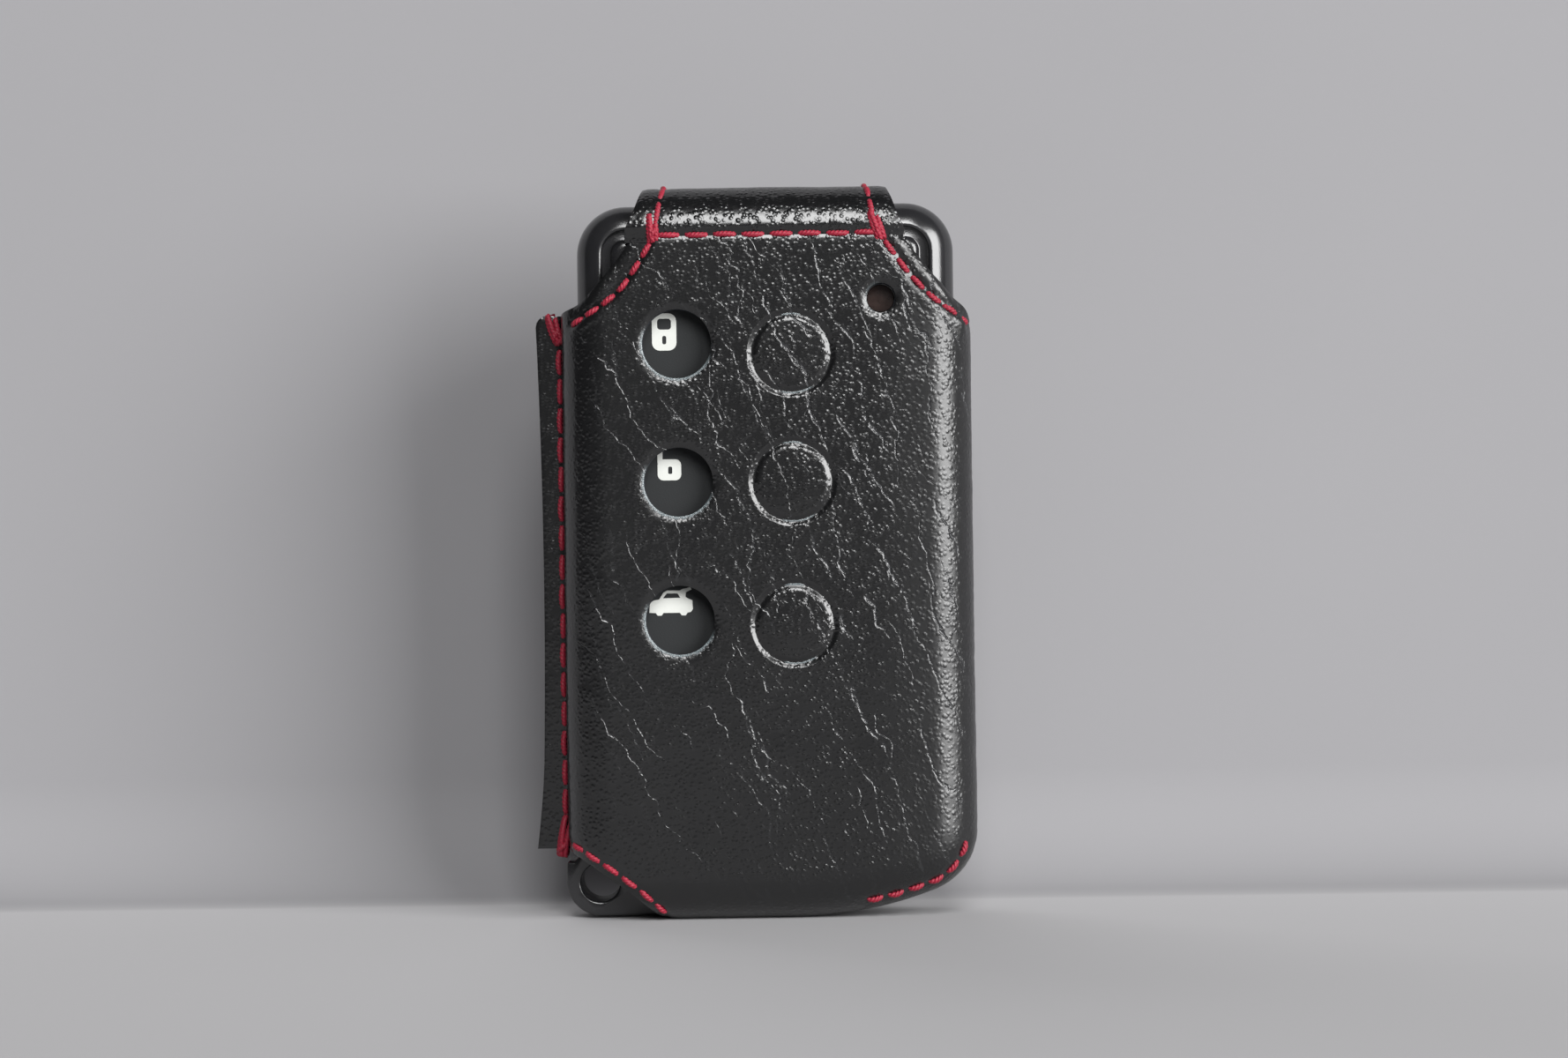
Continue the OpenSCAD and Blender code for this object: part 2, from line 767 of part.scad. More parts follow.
module fob_front_shell() {
  color("#1c1c1e")
    difference() {
      soft_slab(casing_depth);
      box([-half_w, split_y, 0], [half_w, half_t, top_z]);
      casing_hollow();
      key_notch();
      face_groove();
      for (i = [0:2])
        button_shape(i, button_gap, fob_front - over, 0);
      pin_y(led_x, led_z, lens_r, fob_front - over, 0);
      seal_ring(seal_gap);
    }
}

// Blade channel and battery ring moulded inside the rear shell
slot_half = blade_w / 2 + key_gap;
slot_t = blade_t / 2 + key_gap;
slot_top = head_top + blade_l + key_gap;
module channel_block() {
  box([-half_w, split_y, notch_top],
    [blade_x + slot_half + fob_wall, slot_t + fob_wall, slot_top + fob_wall]);
}
module battery_ring() {
  difference() {
    pin_y(cell_x, cell_z, cell_r + key_gap + fob_wall, cell_back - cell_t / 2,
      fob_back - fob_wall / 2);
    pin_y(cell_x, cell_z, cell_r + key_gap, cell_back - cell_t, fob_back);
  }
}

module fob_rear_shell() {
  color("#1c1c1e")
    difference() {
      union() {
        difference() {
          soft_slab(casing_depth);
          box([-half_w, -half_t, 0], [half_w, split_y, top_z]);
          casing_hollow();
          key_notch();
        }
        intersection() {
          soft_slab(casing_depth + fob_wall / 2);
          union() {
            channel_block();
            battery_ring();
          }
        }
      }
      box([blade_x - slot_half, -slot_t, 0], [blade_x + slot_half, slot_t, slot_top]);
      latch_room(key_gap);
      seal_ring(seal_gap);
    }
}

// Buttons: cap in the face panel, lip behind it
button_face = fob_front + button_recess;
button_back = button_face + button_t;
module button(i) {
  color("#2e3031")
    union() {
      button_shape(i, 0, button_face, button_back);
      button_shape(i, button_lip, button_back, button_back + button_lip_t);
    }
}
module button_lock() {
  button(2);
}
module button_unlock() {
  button(1);
}
module button_trunk() {
  button(0);
}

// Membrane, switches and board stacked behind the buttons
stack_gap = 0.1;
membrane_front = button_back + button_lip_t + button_travel + stack_gap;
board_front = membrane_front + membrane_t + dome_h;
board_back = board_front + board_t;
board_depth = cavity_depth + key_gap;
board_low = notch_top + 2 * fob_wall;
module board_plate(y0, y1) {
  intersection() {
    along_y(y0, y1)
      polygon(outline(board_depth));
    box([-half_w, y0, board_low], [half_w, y1, top_z]);
  }
}

module key_membrane() {
  color("#505458")
    difference() {
      board_plate(membrane_front, membrane_front + membrane_t);
      pin_y(led_x, led_z, lens_flange_r + key_gap, membrane_front - over,
        membrane_front + 2 * over);
    }
}

module dome_switches() {
  color("silver")
    for (i = [0:2])
      translate([button_x, board_front, button_z + i * button_pitch])
        rotate([90, 0, 0])
          rotate_extrude()
            polygon([[0, 0], [dome_r, 0], [dome_r, dome_h / 4], [dome_r * 3 / 4, dome_h * 3 / 4],
              [dome_r / 2, dome_h], [0, dome_h]]);
}

module circuit_board() {
  color("darkgreen")
    board_plate(board_front, board_back);
}

chip_w = 7;
chip_t = 1;
chip_rise = 28.5;
chip_left = cell_x - chip_w * 7 / 10;
chip_low = cell_z + chip_rise;
module control_chip() {
  color("#202020")
    box([chip_left, board_back, chip_low],
      [chip_left + chip_w, board_back + chip_t, chip_low + chip_w]);
}

lens_r = 1.4;
lens_flange_r = 2;
lens_flange_t = 0.6;
lamp_w = 1.6;
lamp_t = 0.8;
module indicator_lamp() {
  color("white")
    box([led_x - lamp_w / 2, board_front - lamp_t, led_z - lamp_w / 2],
      [led_x + lamp_w / 2, board_front, led_z + lamp_w / 2]);
}

module indicator_lens() {
  color("#4a2020")
    union() {
      pin_y(led_x, led_z, lens_r - stack_gap / 2, fob_front + stack_gap, panel_back + lens_flange_t);
      pin_y(led_x, led_z, lens_flange_r, panel_back, panel_back + lens_flange_t);
    }
}

coil_w = 11;
coil_h = 8;
coil_t = 3;
coil_band = 2;
coil_rise = 15;
coil_low = [chip_left - coil_band, cell_z + coil_rise];
coil_high = coil_low + [coil_w, coil_h];
band = [coil_band, coil_band];
module antenna_coil() {
  color("#7a4a28")
    difference() {
      along_y(board_back, board_back + coil_t)
        polygon(round_box(coil_low, coil_high, coil_band));
      along_y(board_back - over, board_back + coil_t + over)
        polygon(round_box(coil_low + band, coil_high - band, coil_band / 2));
    }
}

contact_t = 0.3;
contact_w = 4;
cell_back = fob_back - fob_wall - stack_gap;
cell_front = cell_back - cell_t;
module coin_cell() {
  color("silver")
    union() {
      pin_y(cell_x, cell_z, cell_r, cell_front + cell_t / 4, cell_back);
      pin_y(cell_x, cell_z, cell_r * 4 / 5, cell_front, cell_back);
    }
}

// Contact arms from the board to the cell
contact_left = cell_x - contact_w / 2;
contact_right = cell_x + contact_w / 2;
module cell_contact_minus() {
  low = cell_z - contact_w;
  color("gold")
    union() {
      box([contact_left, cell_front - contact_t, low],
        [contact_right, cell_front, cell_z + contact_w]);
      box([contact_left, board_back, low], [contact_right, cell_front, low + contact_t]);
    }
}

module cell_contact_plus() {
  low = cell_z + cell_r + key_gap + fob_wall;
  high = low + 2 * contact_t;
  color("gold")
    union() {
      box([contact_left, board_back, low + contact_t], [contact_right, cell_back, high]);
      box([contact_left, cell_front, low], [contact_right, cell_front + contact_t, high]);
    }
}

// Emergency key: head with the ring loop, steel blade, side latch
groove_share = 0.25;
blade_point_share = 0.6;
blade_tip = head_top + blade_l;
blade_point = blade_tip - blade_w * blade_point_share;
blade_left = blade_x - blade_w / 2;
blade_right = blade_x + blade_w / 2;
tang_low = head_top - blade_w / 2;
module key_blade() {
  half_groove = blade_w * groove_share / 2;
  color("silver")
    difference() {
      along_y(-blade_t / 2, blade_t / 2)
        polygon([[blade_left, tang_low], [blade_right, tang_low], [blade_right, blade_point],
          [blade_x, blade_tip], [blade_left, blade_point]]);
      for (side = [-1, 1])
        box([blade_x - half_groove, side < 0 ? -blade_t : blade_t / 4, head_top + blade_w],
          [blade_x + half_groove, side < 0 ? -blade_t / 4 : blade_t, blade_tip + over]);
    }
}

eye_out = eye_r + eye_rim;
module key_head() {
  eye_left = eye_x - eye_out;
  eye_low = eye_z - eye_out;
  loop_top = head_low + over;
  color("#1c1c1e")
    difference() {
      union() {
        difference() {
          along_y(-head_t / 2, head_t / 2)
            polygon([[head_left, head_low + key_gap], [head_right, head_low - key_gap],
              [head_right, head_top], [head_left, head_top]]);
          pin_y(eye_x, eye_z, eye_out, -head_t, head_t);
        }
        along_y(-loop_t / 2, loop_t / 2)
          polygon([[eye_x, eye_low], [head_right, eye_low], [head_right, loop_top],
            [eye_left, loop_top], [eye_left, eye_z], [eye_x, eye_z]]);
        pin_y(eye_x, eye_z, eye_out, -loop_t / 2, loop_t / 2);
      }
      pin_y(eye_x, eye_z, eye_r, -head_t, head_t);
      box([blade_left, -blade_t / 2, tang_low], [blade_right, blade_t / 2, head_top + over]);
    }
}

// Latch pawl beside the blade: sloped nose, spring pocket at its other end
latch_l = 3;
latch_h = 2.4;
latch_t = 1.6;
latch_nose = 1;
latch_x = blade_right + key_gap / 2;
latch_z = 16;
latch_low = latch_z - latch_h / 2;
latch_high = latch_z + latch_h / 2;
module latch_room(gap) {
  box([latch_x - gap, -latch_t / 2 - gap, latch_low - gap],
    [latch_x + latch_l + over, latch_t / 2 + gap, latch_high + gap]);
}
module key_latch() {
  color("#8a8a8a")
    difference() {
      along_y(-latch_t / 2, latch_t / 2)
        polygon([[latch_x, latch_low], [latch_x + latch_l, latch_low],
          [latch_x + latch_l, latch_high], [latch_x + latch_nose, latch_high],
          [latch_x, latch_high - latch_nose]]);
      translate([latch_x + latch_l - latch_nose, 0, latch_z])
        rotate([0, 90, 0])
          cylinder(r = latch_t / 4, h = latch_nose + over);
    }
}

outer_leather();
lining();
top_strap();
strap_lining();
side_seam_thread();
shoulder_thread_left();
shoulder_thread_right();
strap_root_thread();
strap_edge_thread();
corner_thread_left();
corner_thread_right();
tongue_thread();
snap_cap();
snap_socket();
snap_stud();
snap_post();
fob_front_shell();
fob_rear_shell();
casing_seal();
button_lock();
button_unlock();
button_trunk();
key_membrane();
dome_switches();
circuit_board();
control_chip();
indicator_lamp();
indicator_lens();
antenna_coil();
coin_cell();
cell_contact_minus();
cell_contact_plus();
key_blade();
key_head();
key_latch();
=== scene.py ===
import math

import bpy
import numpy as np
from bpy.props import FloatProperty, FloatVectorProperty, IntProperty, PointerProperty
from mathutils import Matrix, Vector, noise


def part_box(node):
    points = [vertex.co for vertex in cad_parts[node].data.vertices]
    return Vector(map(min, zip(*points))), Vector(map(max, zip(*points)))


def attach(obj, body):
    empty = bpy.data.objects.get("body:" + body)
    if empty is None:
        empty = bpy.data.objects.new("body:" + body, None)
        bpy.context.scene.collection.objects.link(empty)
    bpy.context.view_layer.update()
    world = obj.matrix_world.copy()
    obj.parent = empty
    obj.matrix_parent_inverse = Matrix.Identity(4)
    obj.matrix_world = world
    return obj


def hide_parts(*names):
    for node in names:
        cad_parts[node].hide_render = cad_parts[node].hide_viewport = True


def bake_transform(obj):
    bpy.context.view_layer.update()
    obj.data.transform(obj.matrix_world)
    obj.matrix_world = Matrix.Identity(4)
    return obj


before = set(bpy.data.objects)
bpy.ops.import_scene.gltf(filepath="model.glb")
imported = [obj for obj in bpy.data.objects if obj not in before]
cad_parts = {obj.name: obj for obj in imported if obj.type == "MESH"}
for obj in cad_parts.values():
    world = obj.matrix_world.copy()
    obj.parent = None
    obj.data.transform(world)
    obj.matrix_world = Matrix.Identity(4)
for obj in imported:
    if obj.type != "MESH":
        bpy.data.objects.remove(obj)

bl_info = {
    "name": "Key Fob Cover",
    "version": (1, 0, 0),
    "blender": (4, 5, 0),
    "location": "3D View > Sidebar > Fob Cover",
    "description": "Dresses a stitched leather cover and the smart key that it holds",
    "category": "Object",
}

MM = 0.001
QUARTER = math.pi / 2
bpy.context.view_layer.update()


def corners_of(node):
    """Lowest and highest corners of a CAD node, in millimetres."""
    return [np.array(corner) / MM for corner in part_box(node)]


# Places in millimetres: X to the right, Z up, the front at negative Y
LEATHER_LOW, LEATHER_HIGH = corners_of("outer_leather")
CASING_LOW, CASING_HIGH = corners_of("fob_front_shell")
CAP_LOW, CAP_HIGH = corners_of("snap_cap")
HALF_W = LEATHER_HIGH[0]
HALF_T = -LEATHER_LOW[1]
PANEL_TOP = LEATHER_HIGH[2]
BACK_TOP = PANEL_TOP - 2.5
CASING_IN = HALF_W - CASING_HIGH[0]
CORNER_R, CORNER_X, CORNER_TOP = 6.7, 14.25, CASING_HIGH[2] - 5
BOW_R, BOW_X = 41.7, 2
BOW_TURN = math.degrees(math.asin((CORNER_X - BOW_X) / (BOW_R - CORNER_R)))
HEEL_Z = BOW_R - (BOW_R - CORNER_R) * math.cos(math.radians(BOW_TURN))
FLANGE_LOW, FLANGE_HIGH = 7.1, 62.0
FLANGE_FACE = 1.5
FLANGE_CORNER = 1.2
FILLET = 0.6
# Half width of the panel's flat middle, and height of the side wall up to the flange's fold
FLAT_HALF, SIDE_WALL = 16.25, 1.65
SHOULDER_LEFT_Z, SHOULDER_RIGHT_Z = 61.9, 60.1
ROOT_LEFT, ROOT_RIGHT = -13.4, 13.7
RING_CUT_X = -11.5
# Open corners at the bottom: way out, first x, half depth and height
RING_GATE = (-1, RING_CUT_X + 0.1, 5.4, FLANGE_LOW)
HEEL_GATE = (1, 10.45, 4.3, 7.6)
PUNCHES = [(-9.05, 30.6), (-9.05, 44.6), (-9.05, 58.6)]
CIRCLES = [(2.55, 30.1), (2.55, 44.5), (2.55, 57.5)]
LED = (11.7, 63.0)
EYE, EYE_NOTCH_R = (-17.75, 3.7), 3.4
BUTTON_ROWS = (32.3, 46.0, 59.7)
SNAP_Z = (CAP_LOW[2] + CAP_HIGH[2]) / 2
# The strap's two bends: depth and height of the middle, radius
STRAP_FRONT = (-3.75, 69.9, 4.8)
STRAP_BACK = (3.75, 68.2, 6.5)
STRAP_FACE_Y = 10.25
STRAP_TIP_R, STRAP_TIP_TOP = 8, 73.2
STRAP_HALF, STRAP_ROOT_HALF = 12.2, 14.2
STRAP_MARGIN = 2.0


# Sizes and colours that a user would change


def length(name, description, default):
    """A length that a user can set, in metres."""
    return FloatProperty(name=name, description=description, default=default, unit="LENGTH")


def tint(name, description, default):
    """A colour that a user can set."""
    return FloatVectorProperty(name=name, description=description, default=default, size=3,
                               subtype="COLOR", min=0, max=1)


class CoverSizes(bpy.types.PropertyGroup):
    """Sizes of the leather cover and its stitches."""

    leather: length("Leather", "Thickness of the leather", 0.0011)
    lining: length("Lining", "Thickness of the lining", 0.00036)
    edge_radius: length("Edge radius", "Rounding of the cover's edges", 0.0047)
    cell: length("Cell", "Size of one face of the leather's mesh", 0.00046)
    punch: length("Button holes", "Diameter of the punched holes", 0.007)
    indicator: length("Indicator hole", "Diameter of the indicator hole", 0.003)
    circle: length("Circles", "Diameter of the embossed circles", 0.008)
    groove: length("Groove", "Depth of the embossed circles", 0.00021)
    thread: length("Thread", "Radius of the sewing thread", 0.00029)
    pitch: length("Stitch", "Distance between stitches on straight seams", 0.00293)
    curve_pitch: length("Curve stitch", "Distance between stitches on the cut corners", 0.0023)
    lay: length("Lay", "Length of one turn of the twisted thread", 0.00125)


class FobSizes(bpy.types.PropertyGroup):
    """Sizes of the smart key's casing."""

    rim: length("Rim", "Width of the raised rim", 0.0026)
    groove: length("Groove", "Width of the groove inside the rim", 0.0009)
    groove_depth: length("Groove depth", "Depth of the groove inside the rim", 0.0006)
    panel_round: length("Panel rounding", "Rounding of the face panel", 0.0008)
    edge: length("Edge", "Rounding of the casing's edges", 0.003)
    wall: length("Wall", "Thickness of the casing", 0.0012)
    steps: IntProperty(
        name="Corner steps", description="Faces round a quarter of a corner", default=14, min=4)


class CoverColours(bpy.types.PropertyGroup):
    """Colours of the cover, the key and the stage."""

    leather: tint("Leather", "Grained face of the leather", (0.004, 0.0041, 0.0043))
    # Paler crease lines: partly real wear, partly a painted highlight along their edges.
    crease_and_glint: tint("Creases", "Worn creases of the leather", (0.085, 0.088, 0.094))
    fibre: tint("Cut fibres", "Cut edge of the punched holes", (0.115, 0.14, 0.148))
    suede: tint("Lining", "Split lining", (0.045, 0.048, 0.056))
    thread: tint("Thread", "Sewing thread", (0.33, 0.005, 0.028))
    casing: tint("Casing", "Moulded casing of the key", (0.012, 0.012, 0.013))
    button: tint("Buttons", "Button faces", (0.017, 0.0182, 0.019))
    symbol: tint("Symbols", "Printed symbols", (0.52, 0.53, 0.5))
    backdrop: tint("Backdrop", "Backdrop behind the object", (0.275, 0.272, 0.281))
    # Painted fill light: the floor is paler than the backdrop to make up for the light that falls
    # less on it.
    floor: tint("Floor", "Floor in front of the object", (0.415, 0.411, 0.418))


def size(name):
    """A size of the cover, in millimetres."""
    return getattr(bpy.context.scene.cover_sizes, name) / MM


def fob(name):
    """A size of the casing, in millimetres."""
    return getattr(bpy.context.scene.fob_sizes, name) / MM


def colour(name):
    """A colour, with its alpha."""
    return (*getattr(bpy.context.scene.cover_colours, name), 1.0)


# Outlines and seams, in millimetres in the front view


def arc(centre, radius, start, end, steps):
    """Points of an arc, its ends included; angles in degrees."""
    turn = np.radians(np.linspace(start, end, steps + 1))
    return np.stack([centre[0] + radius * np.cos(turn), centre[1] + radius * np.sin(turn)], 1)


def cover_outline(depth, steps=12):
    """Closed outline of the cover, a depth inside its outer surface."""
    corner, heel = CORNER_R - depth, 270 + BOW_TURN
    return np.concatenate([
        arc((-CORNER_X, CORNER_R), corner, 180, 270, steps),
        arc((BOW_X, BOW_R), BOW_R - depth, 270, heel, steps),
        arc((CORNER_X, HEEL_Z), corner, heel, 360, steps),
        arc((CORNER_X, CORNER_TOP), corner, 0, 90, steps),
        arc((-CORNER_X, CORNER_TOP), corner, 90, 180, steps),
    ])


def cut_line(start, end, shares):
    """Cut edge between two places, rounded off."""
    points = np.array(start) + (np.array(end) - np.array(start)) * np.array(shares)
    for _ in range(2):
        middle = np.empty((2 * len(points) - 2, 2))
        middle[0::2] = points[:-1] * 0.75 + points[1:] * 0.25
        middle[1::2] = points[:-1] * 0.25 + points[1:] * 0.75
        points = np.concatenate([points[:1], middle[1:-1], points[-1:]])
    return points


LEFT_SHOULDER = cut_line((-HALF_W, SHOULDER_LEFT_Z), (ROOT_LEFT, PANEL_TOP), [
    (0, 0), (0.31, 0.19), (0.56, 0.43), (0.8, 0.71), (1, 1)])
RIGHT_SHOULDER = cut_line((HALF_W, SHOULDER_RIGHT_Z), (ROOT_RIGHT, PANEL_TOP), [
    (0, 0), (0.05, 0.2), (0.27, 0.38), (0.64, 0.64), (0.9, 0.92), (1, 1)])
RING_CUT = cut_line((-HALF_W, 0), (RING_CUT_X, FLANGE_LOW), [
    (0, 1), (0.2, 0.87), (0.42, 0.66), (0.66, 0.45), (0.84, 0.22), (1, 0)])


def flange_side():
    """Outer edge of the sewn flange, bowed in at its middle, from its upper corner down."""
    out, top = -HALF_W - 2.28, FLANGE_HIGH - FLANGE_CORNER
    rise = np.linspace(1, 0, 25)
    bow = 0.5 * (2 * rise - 1) ** 2
    foot = 0.5 * np.clip(1 - rise / 0.16, 0, 1) ** 1.5
    edge = np.stack([out - bow - foot, FLANGE_LOW + (top - FLANGE_LOW) * rise], 1)
    corner = arc((out + 0.7, top), FLANGE_CORNER, 90, 180, 8)
    return np.concatenate([corner, edge[1:]])


SILHOUETTE = np.concatenate([
    [(RING_CUT_X, -1), (HALF_W + 1, -1), (HALF_W + 1, SHOULDER_RIGHT_Z)],
    RIGHT_SHOULDER, LEFT_SHOULDER[::-1], flange_side(), RING_CUT])


def legs(line):
    """The straight legs of a line: each with its start and its way."""
    for (x0, z0), (x1, z1) in zip(line[:-1], line[1:]):
        yield x0, z0, x1 - x0, z1 - z0


def leg_share(x, z, x0, z0, ex, ez):
    """Share of a leg at which it passes nearest to each place."""
    return np.clip(((x - x0) * ex + (z - z0) * ez) / max(ex * ex + ez * ez, 1e-12), 0, 1)


def closed(outline):
    """An outline with its first place again at its end."""
    return np.concatenate([outline, outline[:1]])


def outline_distance(x, z, outline):
    """Distance from a closed outline, negative inside it."""
    nearest = np.full(np.shape(x), np.inf)
    inside = np.zeros(np.shape(x), bool)
    for x0, z0, ex, ez in legs(closed(outline)):
        share = leg_share(x, z, x0, z0, ex, ez)
        gap = (x - x0 - share * ex) ** 2 + (z - z0 - share * ez) ** 2
        nearest = np.minimum(nearest, gap)
        if abs(ez) > 1e-12:
            inside ^= ((z0 > z) != (z0 + ez > z)) & (x < x0 + ex * (z - z0) / ez)
    return np.where(inside, -1, 1) * np.sqrt(nearest)


def line_distance(x, z, line):
    """Distance from a line, the length along it up to its nearest place, and that place."""
    gap, along = np.full(np.shape(x), np.inf), np.zeros(np.shape(x))
    foot_x, foot_z, passed = along.copy(), along.copy(), 0.0
    for x0, z0, ex, ez in legs(line):
        share = leg_share(x, z, x0, z0, ex, ez)
        here = np.hypot(x - x0 - share * ex, z - z0 - share * ez)
        closer = here < gap
        gap = np.where(closer, here, gap)
        leg = math.hypot(ex, ez)
        along = np.where(closer, passed + share * leg, along)
        foot_x = np.where(closer, x0 + share * ex, foot_x)
        foot_z = np.where(closer, z0 + share * ez, foot_z)
        passed += leg
    return gap, along, foot_x, foot_z


def beside(line, margin):
    """A line moved sideways by a margin, to the left of its direction."""
    way = np.gradient(line, axis=0)
    way /= np.linalg.norm(way, axis=1, keepdims=True)
    return line + margin * np.stack([-way[:, 1], way[:, 0]], 1)


def smooth(value, low, high):
    """Smooth step from 0 at low to 1 at high."""
    share = np.clip((value - low) / (high - low), 0, 1)
    return share * share * (3 - 2 * share)


def below(value, low, high):
    """Smooth step from 1 at low to 0 at high."""
    return 1 - smooth(value, low, high)


def ditch(gap, width):
    """Rounded profile across a line: 1 on it, fading over a width."""
    return np.exp(-((gap / width) ** 2))


def ripple(points, scale, seed):
    """Soft random waves between -1 and 1 at places in space."""
    shift = Vector((seed * 7.3, seed * 3.1, seed * 5.7))
    return np.array([noise.noise(Vector(p) * scale + shift) for p in points])


SEAM_TOP, OUTSIDE = 69.0, 80
LEFT_SEAM = cut_line((-20.0, 60.5), (-11.5, SEAM_TOP), [
    (0, 0), (0.23, 0.15), (0.52, 0.31), (0.72, 0.55), (0.89, 0.81), (1, 1)])
RIGHT_SEAM = cut_line((20.75, 60.3), (12.0, SEAM_TOP), [
    (0, 0), (0.16, 0.12), (0.33, 0.23), (0.54, 0.39), (0.71, 0.58), (1, 1)])
RING_SEAM = beside(RING_CUT, 0.9)
HEEL_SEAM = np.concatenate([
    arc((BOW_X, BOW_R), BOW_R - 1.1, 280.3, 290.5, 8), arc((CORNER_X, 8.91), 5.6, 290.5, 350, 14)])
LEFT_MARGIN = np.concatenate([
    LEFT_SEAM, [(-11.5, OUTSIDE), (-OUTSIDE, OUTSIDE), (-OUTSIDE, 60.5)]])
RIGHT_MARGIN = np.concatenate([
    RIGHT_SEAM, [(12, OUTSIDE), (OUTSIDE, OUTSIDE), (OUTSIDE, 60.3)]])


# The wrap of flat leather round the fob


def beyond_core(u, v):
    """How far flat places lie past the panel's flat middle, its nearest place and the way out."""
    outline = cover_outline(size("edge_radius"))
    gap, _, foot_u, foot_v = line_distance(u, v, closed(outline))
    outside = outline_distance(u, v, outline) > 0
    gap = np.where(outside, gap, 0)
    foot_u, foot_v = np.where(outside, foot_u, u), np.where(outside, foot_v, v)
    reach = np.maximum(gap, 1e-9)
    return gap, foot_u, foot_v, (u - foot_u) / reach, (v - foot_v) / reach


def to_the_left(out_x):
    """Mask of the places whose way out points to the flange."""
    return out_x < -0.999


def wrap(u, v, side):
    """Where flat places come on the cover, and the way out there; side is -1 in front, 1 behind."""
    radius = size("edge_radius")
    gap, foot_x, foot_z, out_x, out_z = beyond_core(u, v)
    turn = np.clip(gap / radius, 0, QUARTER)
    wall = np.maximum(gap - radius * QUARTER, 0)
    straight = HALF_T - radius - FLANGE_FACE - FILLET
    turned = to_the_left(out_x) & (wall > straight)
    swing = np.where(turned, np.clip((wall - straight) / FILLET, 0, QUARTER), 0)
    run = np.where(turned, np.maximum(wall - straight - FILLET * QUARTER, 0), 0)
    depth = radius * (1 - np.cos(turn))
    depth = depth + np.where(turned, straight + FILLET * np.sin(swing), wall)
    reach = radius * np.sin(turn) + FILLET * (1 - np.cos(swing)) + run
    flat = np.where(turned, np.sin(swing), np.cos(turn))
    steep = np.where(turned, np.cos(swing), np.sin(turn))
    place = np.stack([foot_x + out_x * reach, side * (HALF_T - depth), foot_z + out_z * reach], 1)
    return place, np.stack([out_x * steep, side * flat, out_z * steep], 1)


def front_spot(x, z, lift=0.0):
    """Places on the cover's front at x, z, raised by a lift, and the way out there."""
    radius, step, outline = size("edge_radius"), 0.05, cover_outline(0)
    inward = -outline_distance(x, z, outline)
    slope_x, slope_z = (
        outline_distance(x + dx, z + dz, outline) - outline_distance(x - dx, z - dz, outline)
        for dx, dz in ((step, 0), (0, step)))
    steep = np.maximum(np.hypot(slope_x, slope_z), 1e-9)
    share = np.clip((radius - inward) / radius, 0, 1)
    flat = np.sqrt(np.maximum(1 - share ** 2, 0))
    out = np.stack([slope_x / steep * share, -flat, slope_z / steep * share], 1)
    return np.stack([x, -HALF_T + radius * (1 - flat), z], 1) + out * lift, out


def margin_relief(place, region, seam, cut, drop, bead):
    """Height along one cut shoulder: lowered margin, sewn ditch with its puckers, rolled edge."""
    x, z = place[:, 0], place[:, 2]
    past, (near, along, *_) = outline_distance(x, z, region), line_distance(x, z, seam)
    gap = line_distance(x, z, cut)[0]
    fade = below(np.abs(x), HALF_W - 1.4, HALF_W - 0.2)
    height = -fade * (drop * below(past, -0.1, 0.22) - 0.09 * ditch(past - 0.5, 0.35))
    pucker = 0.5 + 0.5 * np.cos(2 * math.pi * along / size("curve_pitch"))
    height -= (0.1 + 0.06 * pucker) * ditch(near, 0.24)
    crimp = 1 + 0.45 * ripple(np.stack([along, gap * 0.3, gap * 0], 1), 0.9, 31)
    height += fade * bead * crimp * ditch(gap - 0.9, 0.5)
    return height - fade * 0.18 * below(gap, 0, 0.35)


def leather_relief(place, side):
    """Height of the leather over the plain wrap: waves, margins, ditches, rings, worn edges."""
    x, z = place[:, 0], place[:, 2]
    height = 0.07 * ripple(place, 0.11, 3) + 0.03 * ripple(place, 0.35, 5)
    creep = smooth(x, HALF_W - 4.4, HALF_W - 1.2)
    height -= creep * 0.06 * np.abs(ripple(place * (0.25, 0.25, 1.0), 1.1, 8))
    if side > 0:
        return height - 0.25 * below(BACK_TOP - z, 0, 0.5)
    height += margin_relief(place, LEFT_MARGIN, LEFT_SEAM, LEFT_SHOULDER, 0.42, 0.05)
    height += margin_relief(place, RIGHT_MARGIN, RIGHT_SEAM, RIGHT_SHOULDER, 0.5, 0.36)
    gap = line_distance(x, z, RING_CUT)[0]
    height -= 0.12 * below(gap, 0.6, 1.1) + 0.1 * ditch(gap - 0.9, 0.24)
    height -= 0.12 * below(gap, 0, 0.3)
    height -= 0.14 * ditch(line_distance(x, z, HEEL_SEAM)[0], 0.35)
    height -= 0.06 * below(np.maximum(PANEL_TOP - z, 0), 0, 0.5)
    ring = size("circle") / 2
    for centre in CIRCLES:
        gap = np.hypot(x - centre[0], z - centre[1])
        height -= size("groove") * np.clip((0.5 - np.abs(gap - ring)) / 0.42, 0, 1)
        height += 0.1 * below(gap, ring * 0.2, ring)
    for centre in PUNCHES:
        gap = np.hypot(x - centre[0], z - centre[1]) - size("punch") / 2
        height -= 0.16 * below(gap, 0, 0.55)
    gap = np.hypot(x - LED[0], z - LED[1]) - size("indicator") / 2
    return height - 0.22 * below(gap, 0, 0.6)


# Mesh helpers


def take(piece):
    """Makes a piece the only selected and the active object."""
    bpy.ops.object.select_all(action="DESELECT")
    piece.select_set(True)
    bpy.context.view_layer.objects.active = piece


def read(group, name, width=1, kind=np.float32):
    """Values of a mesh's elements, a row for each where there are more than one."""
    values = np.empty(len(group) * width, kind)
    group.foreach_get(name, values)
    return values.reshape(-1, width) if width > 1 else values


def spots(piece):
    """Places of a piece's vertices."""
    return read(piece.data.vertices, "co", 3).astype(float)


def move_spots(piece, places):
    """Sets the places of a piece's vertices."""
    piece.data.vertices.foreach_set("co", np.asarray(places, np.float32).ravel())
    piece.data.update()


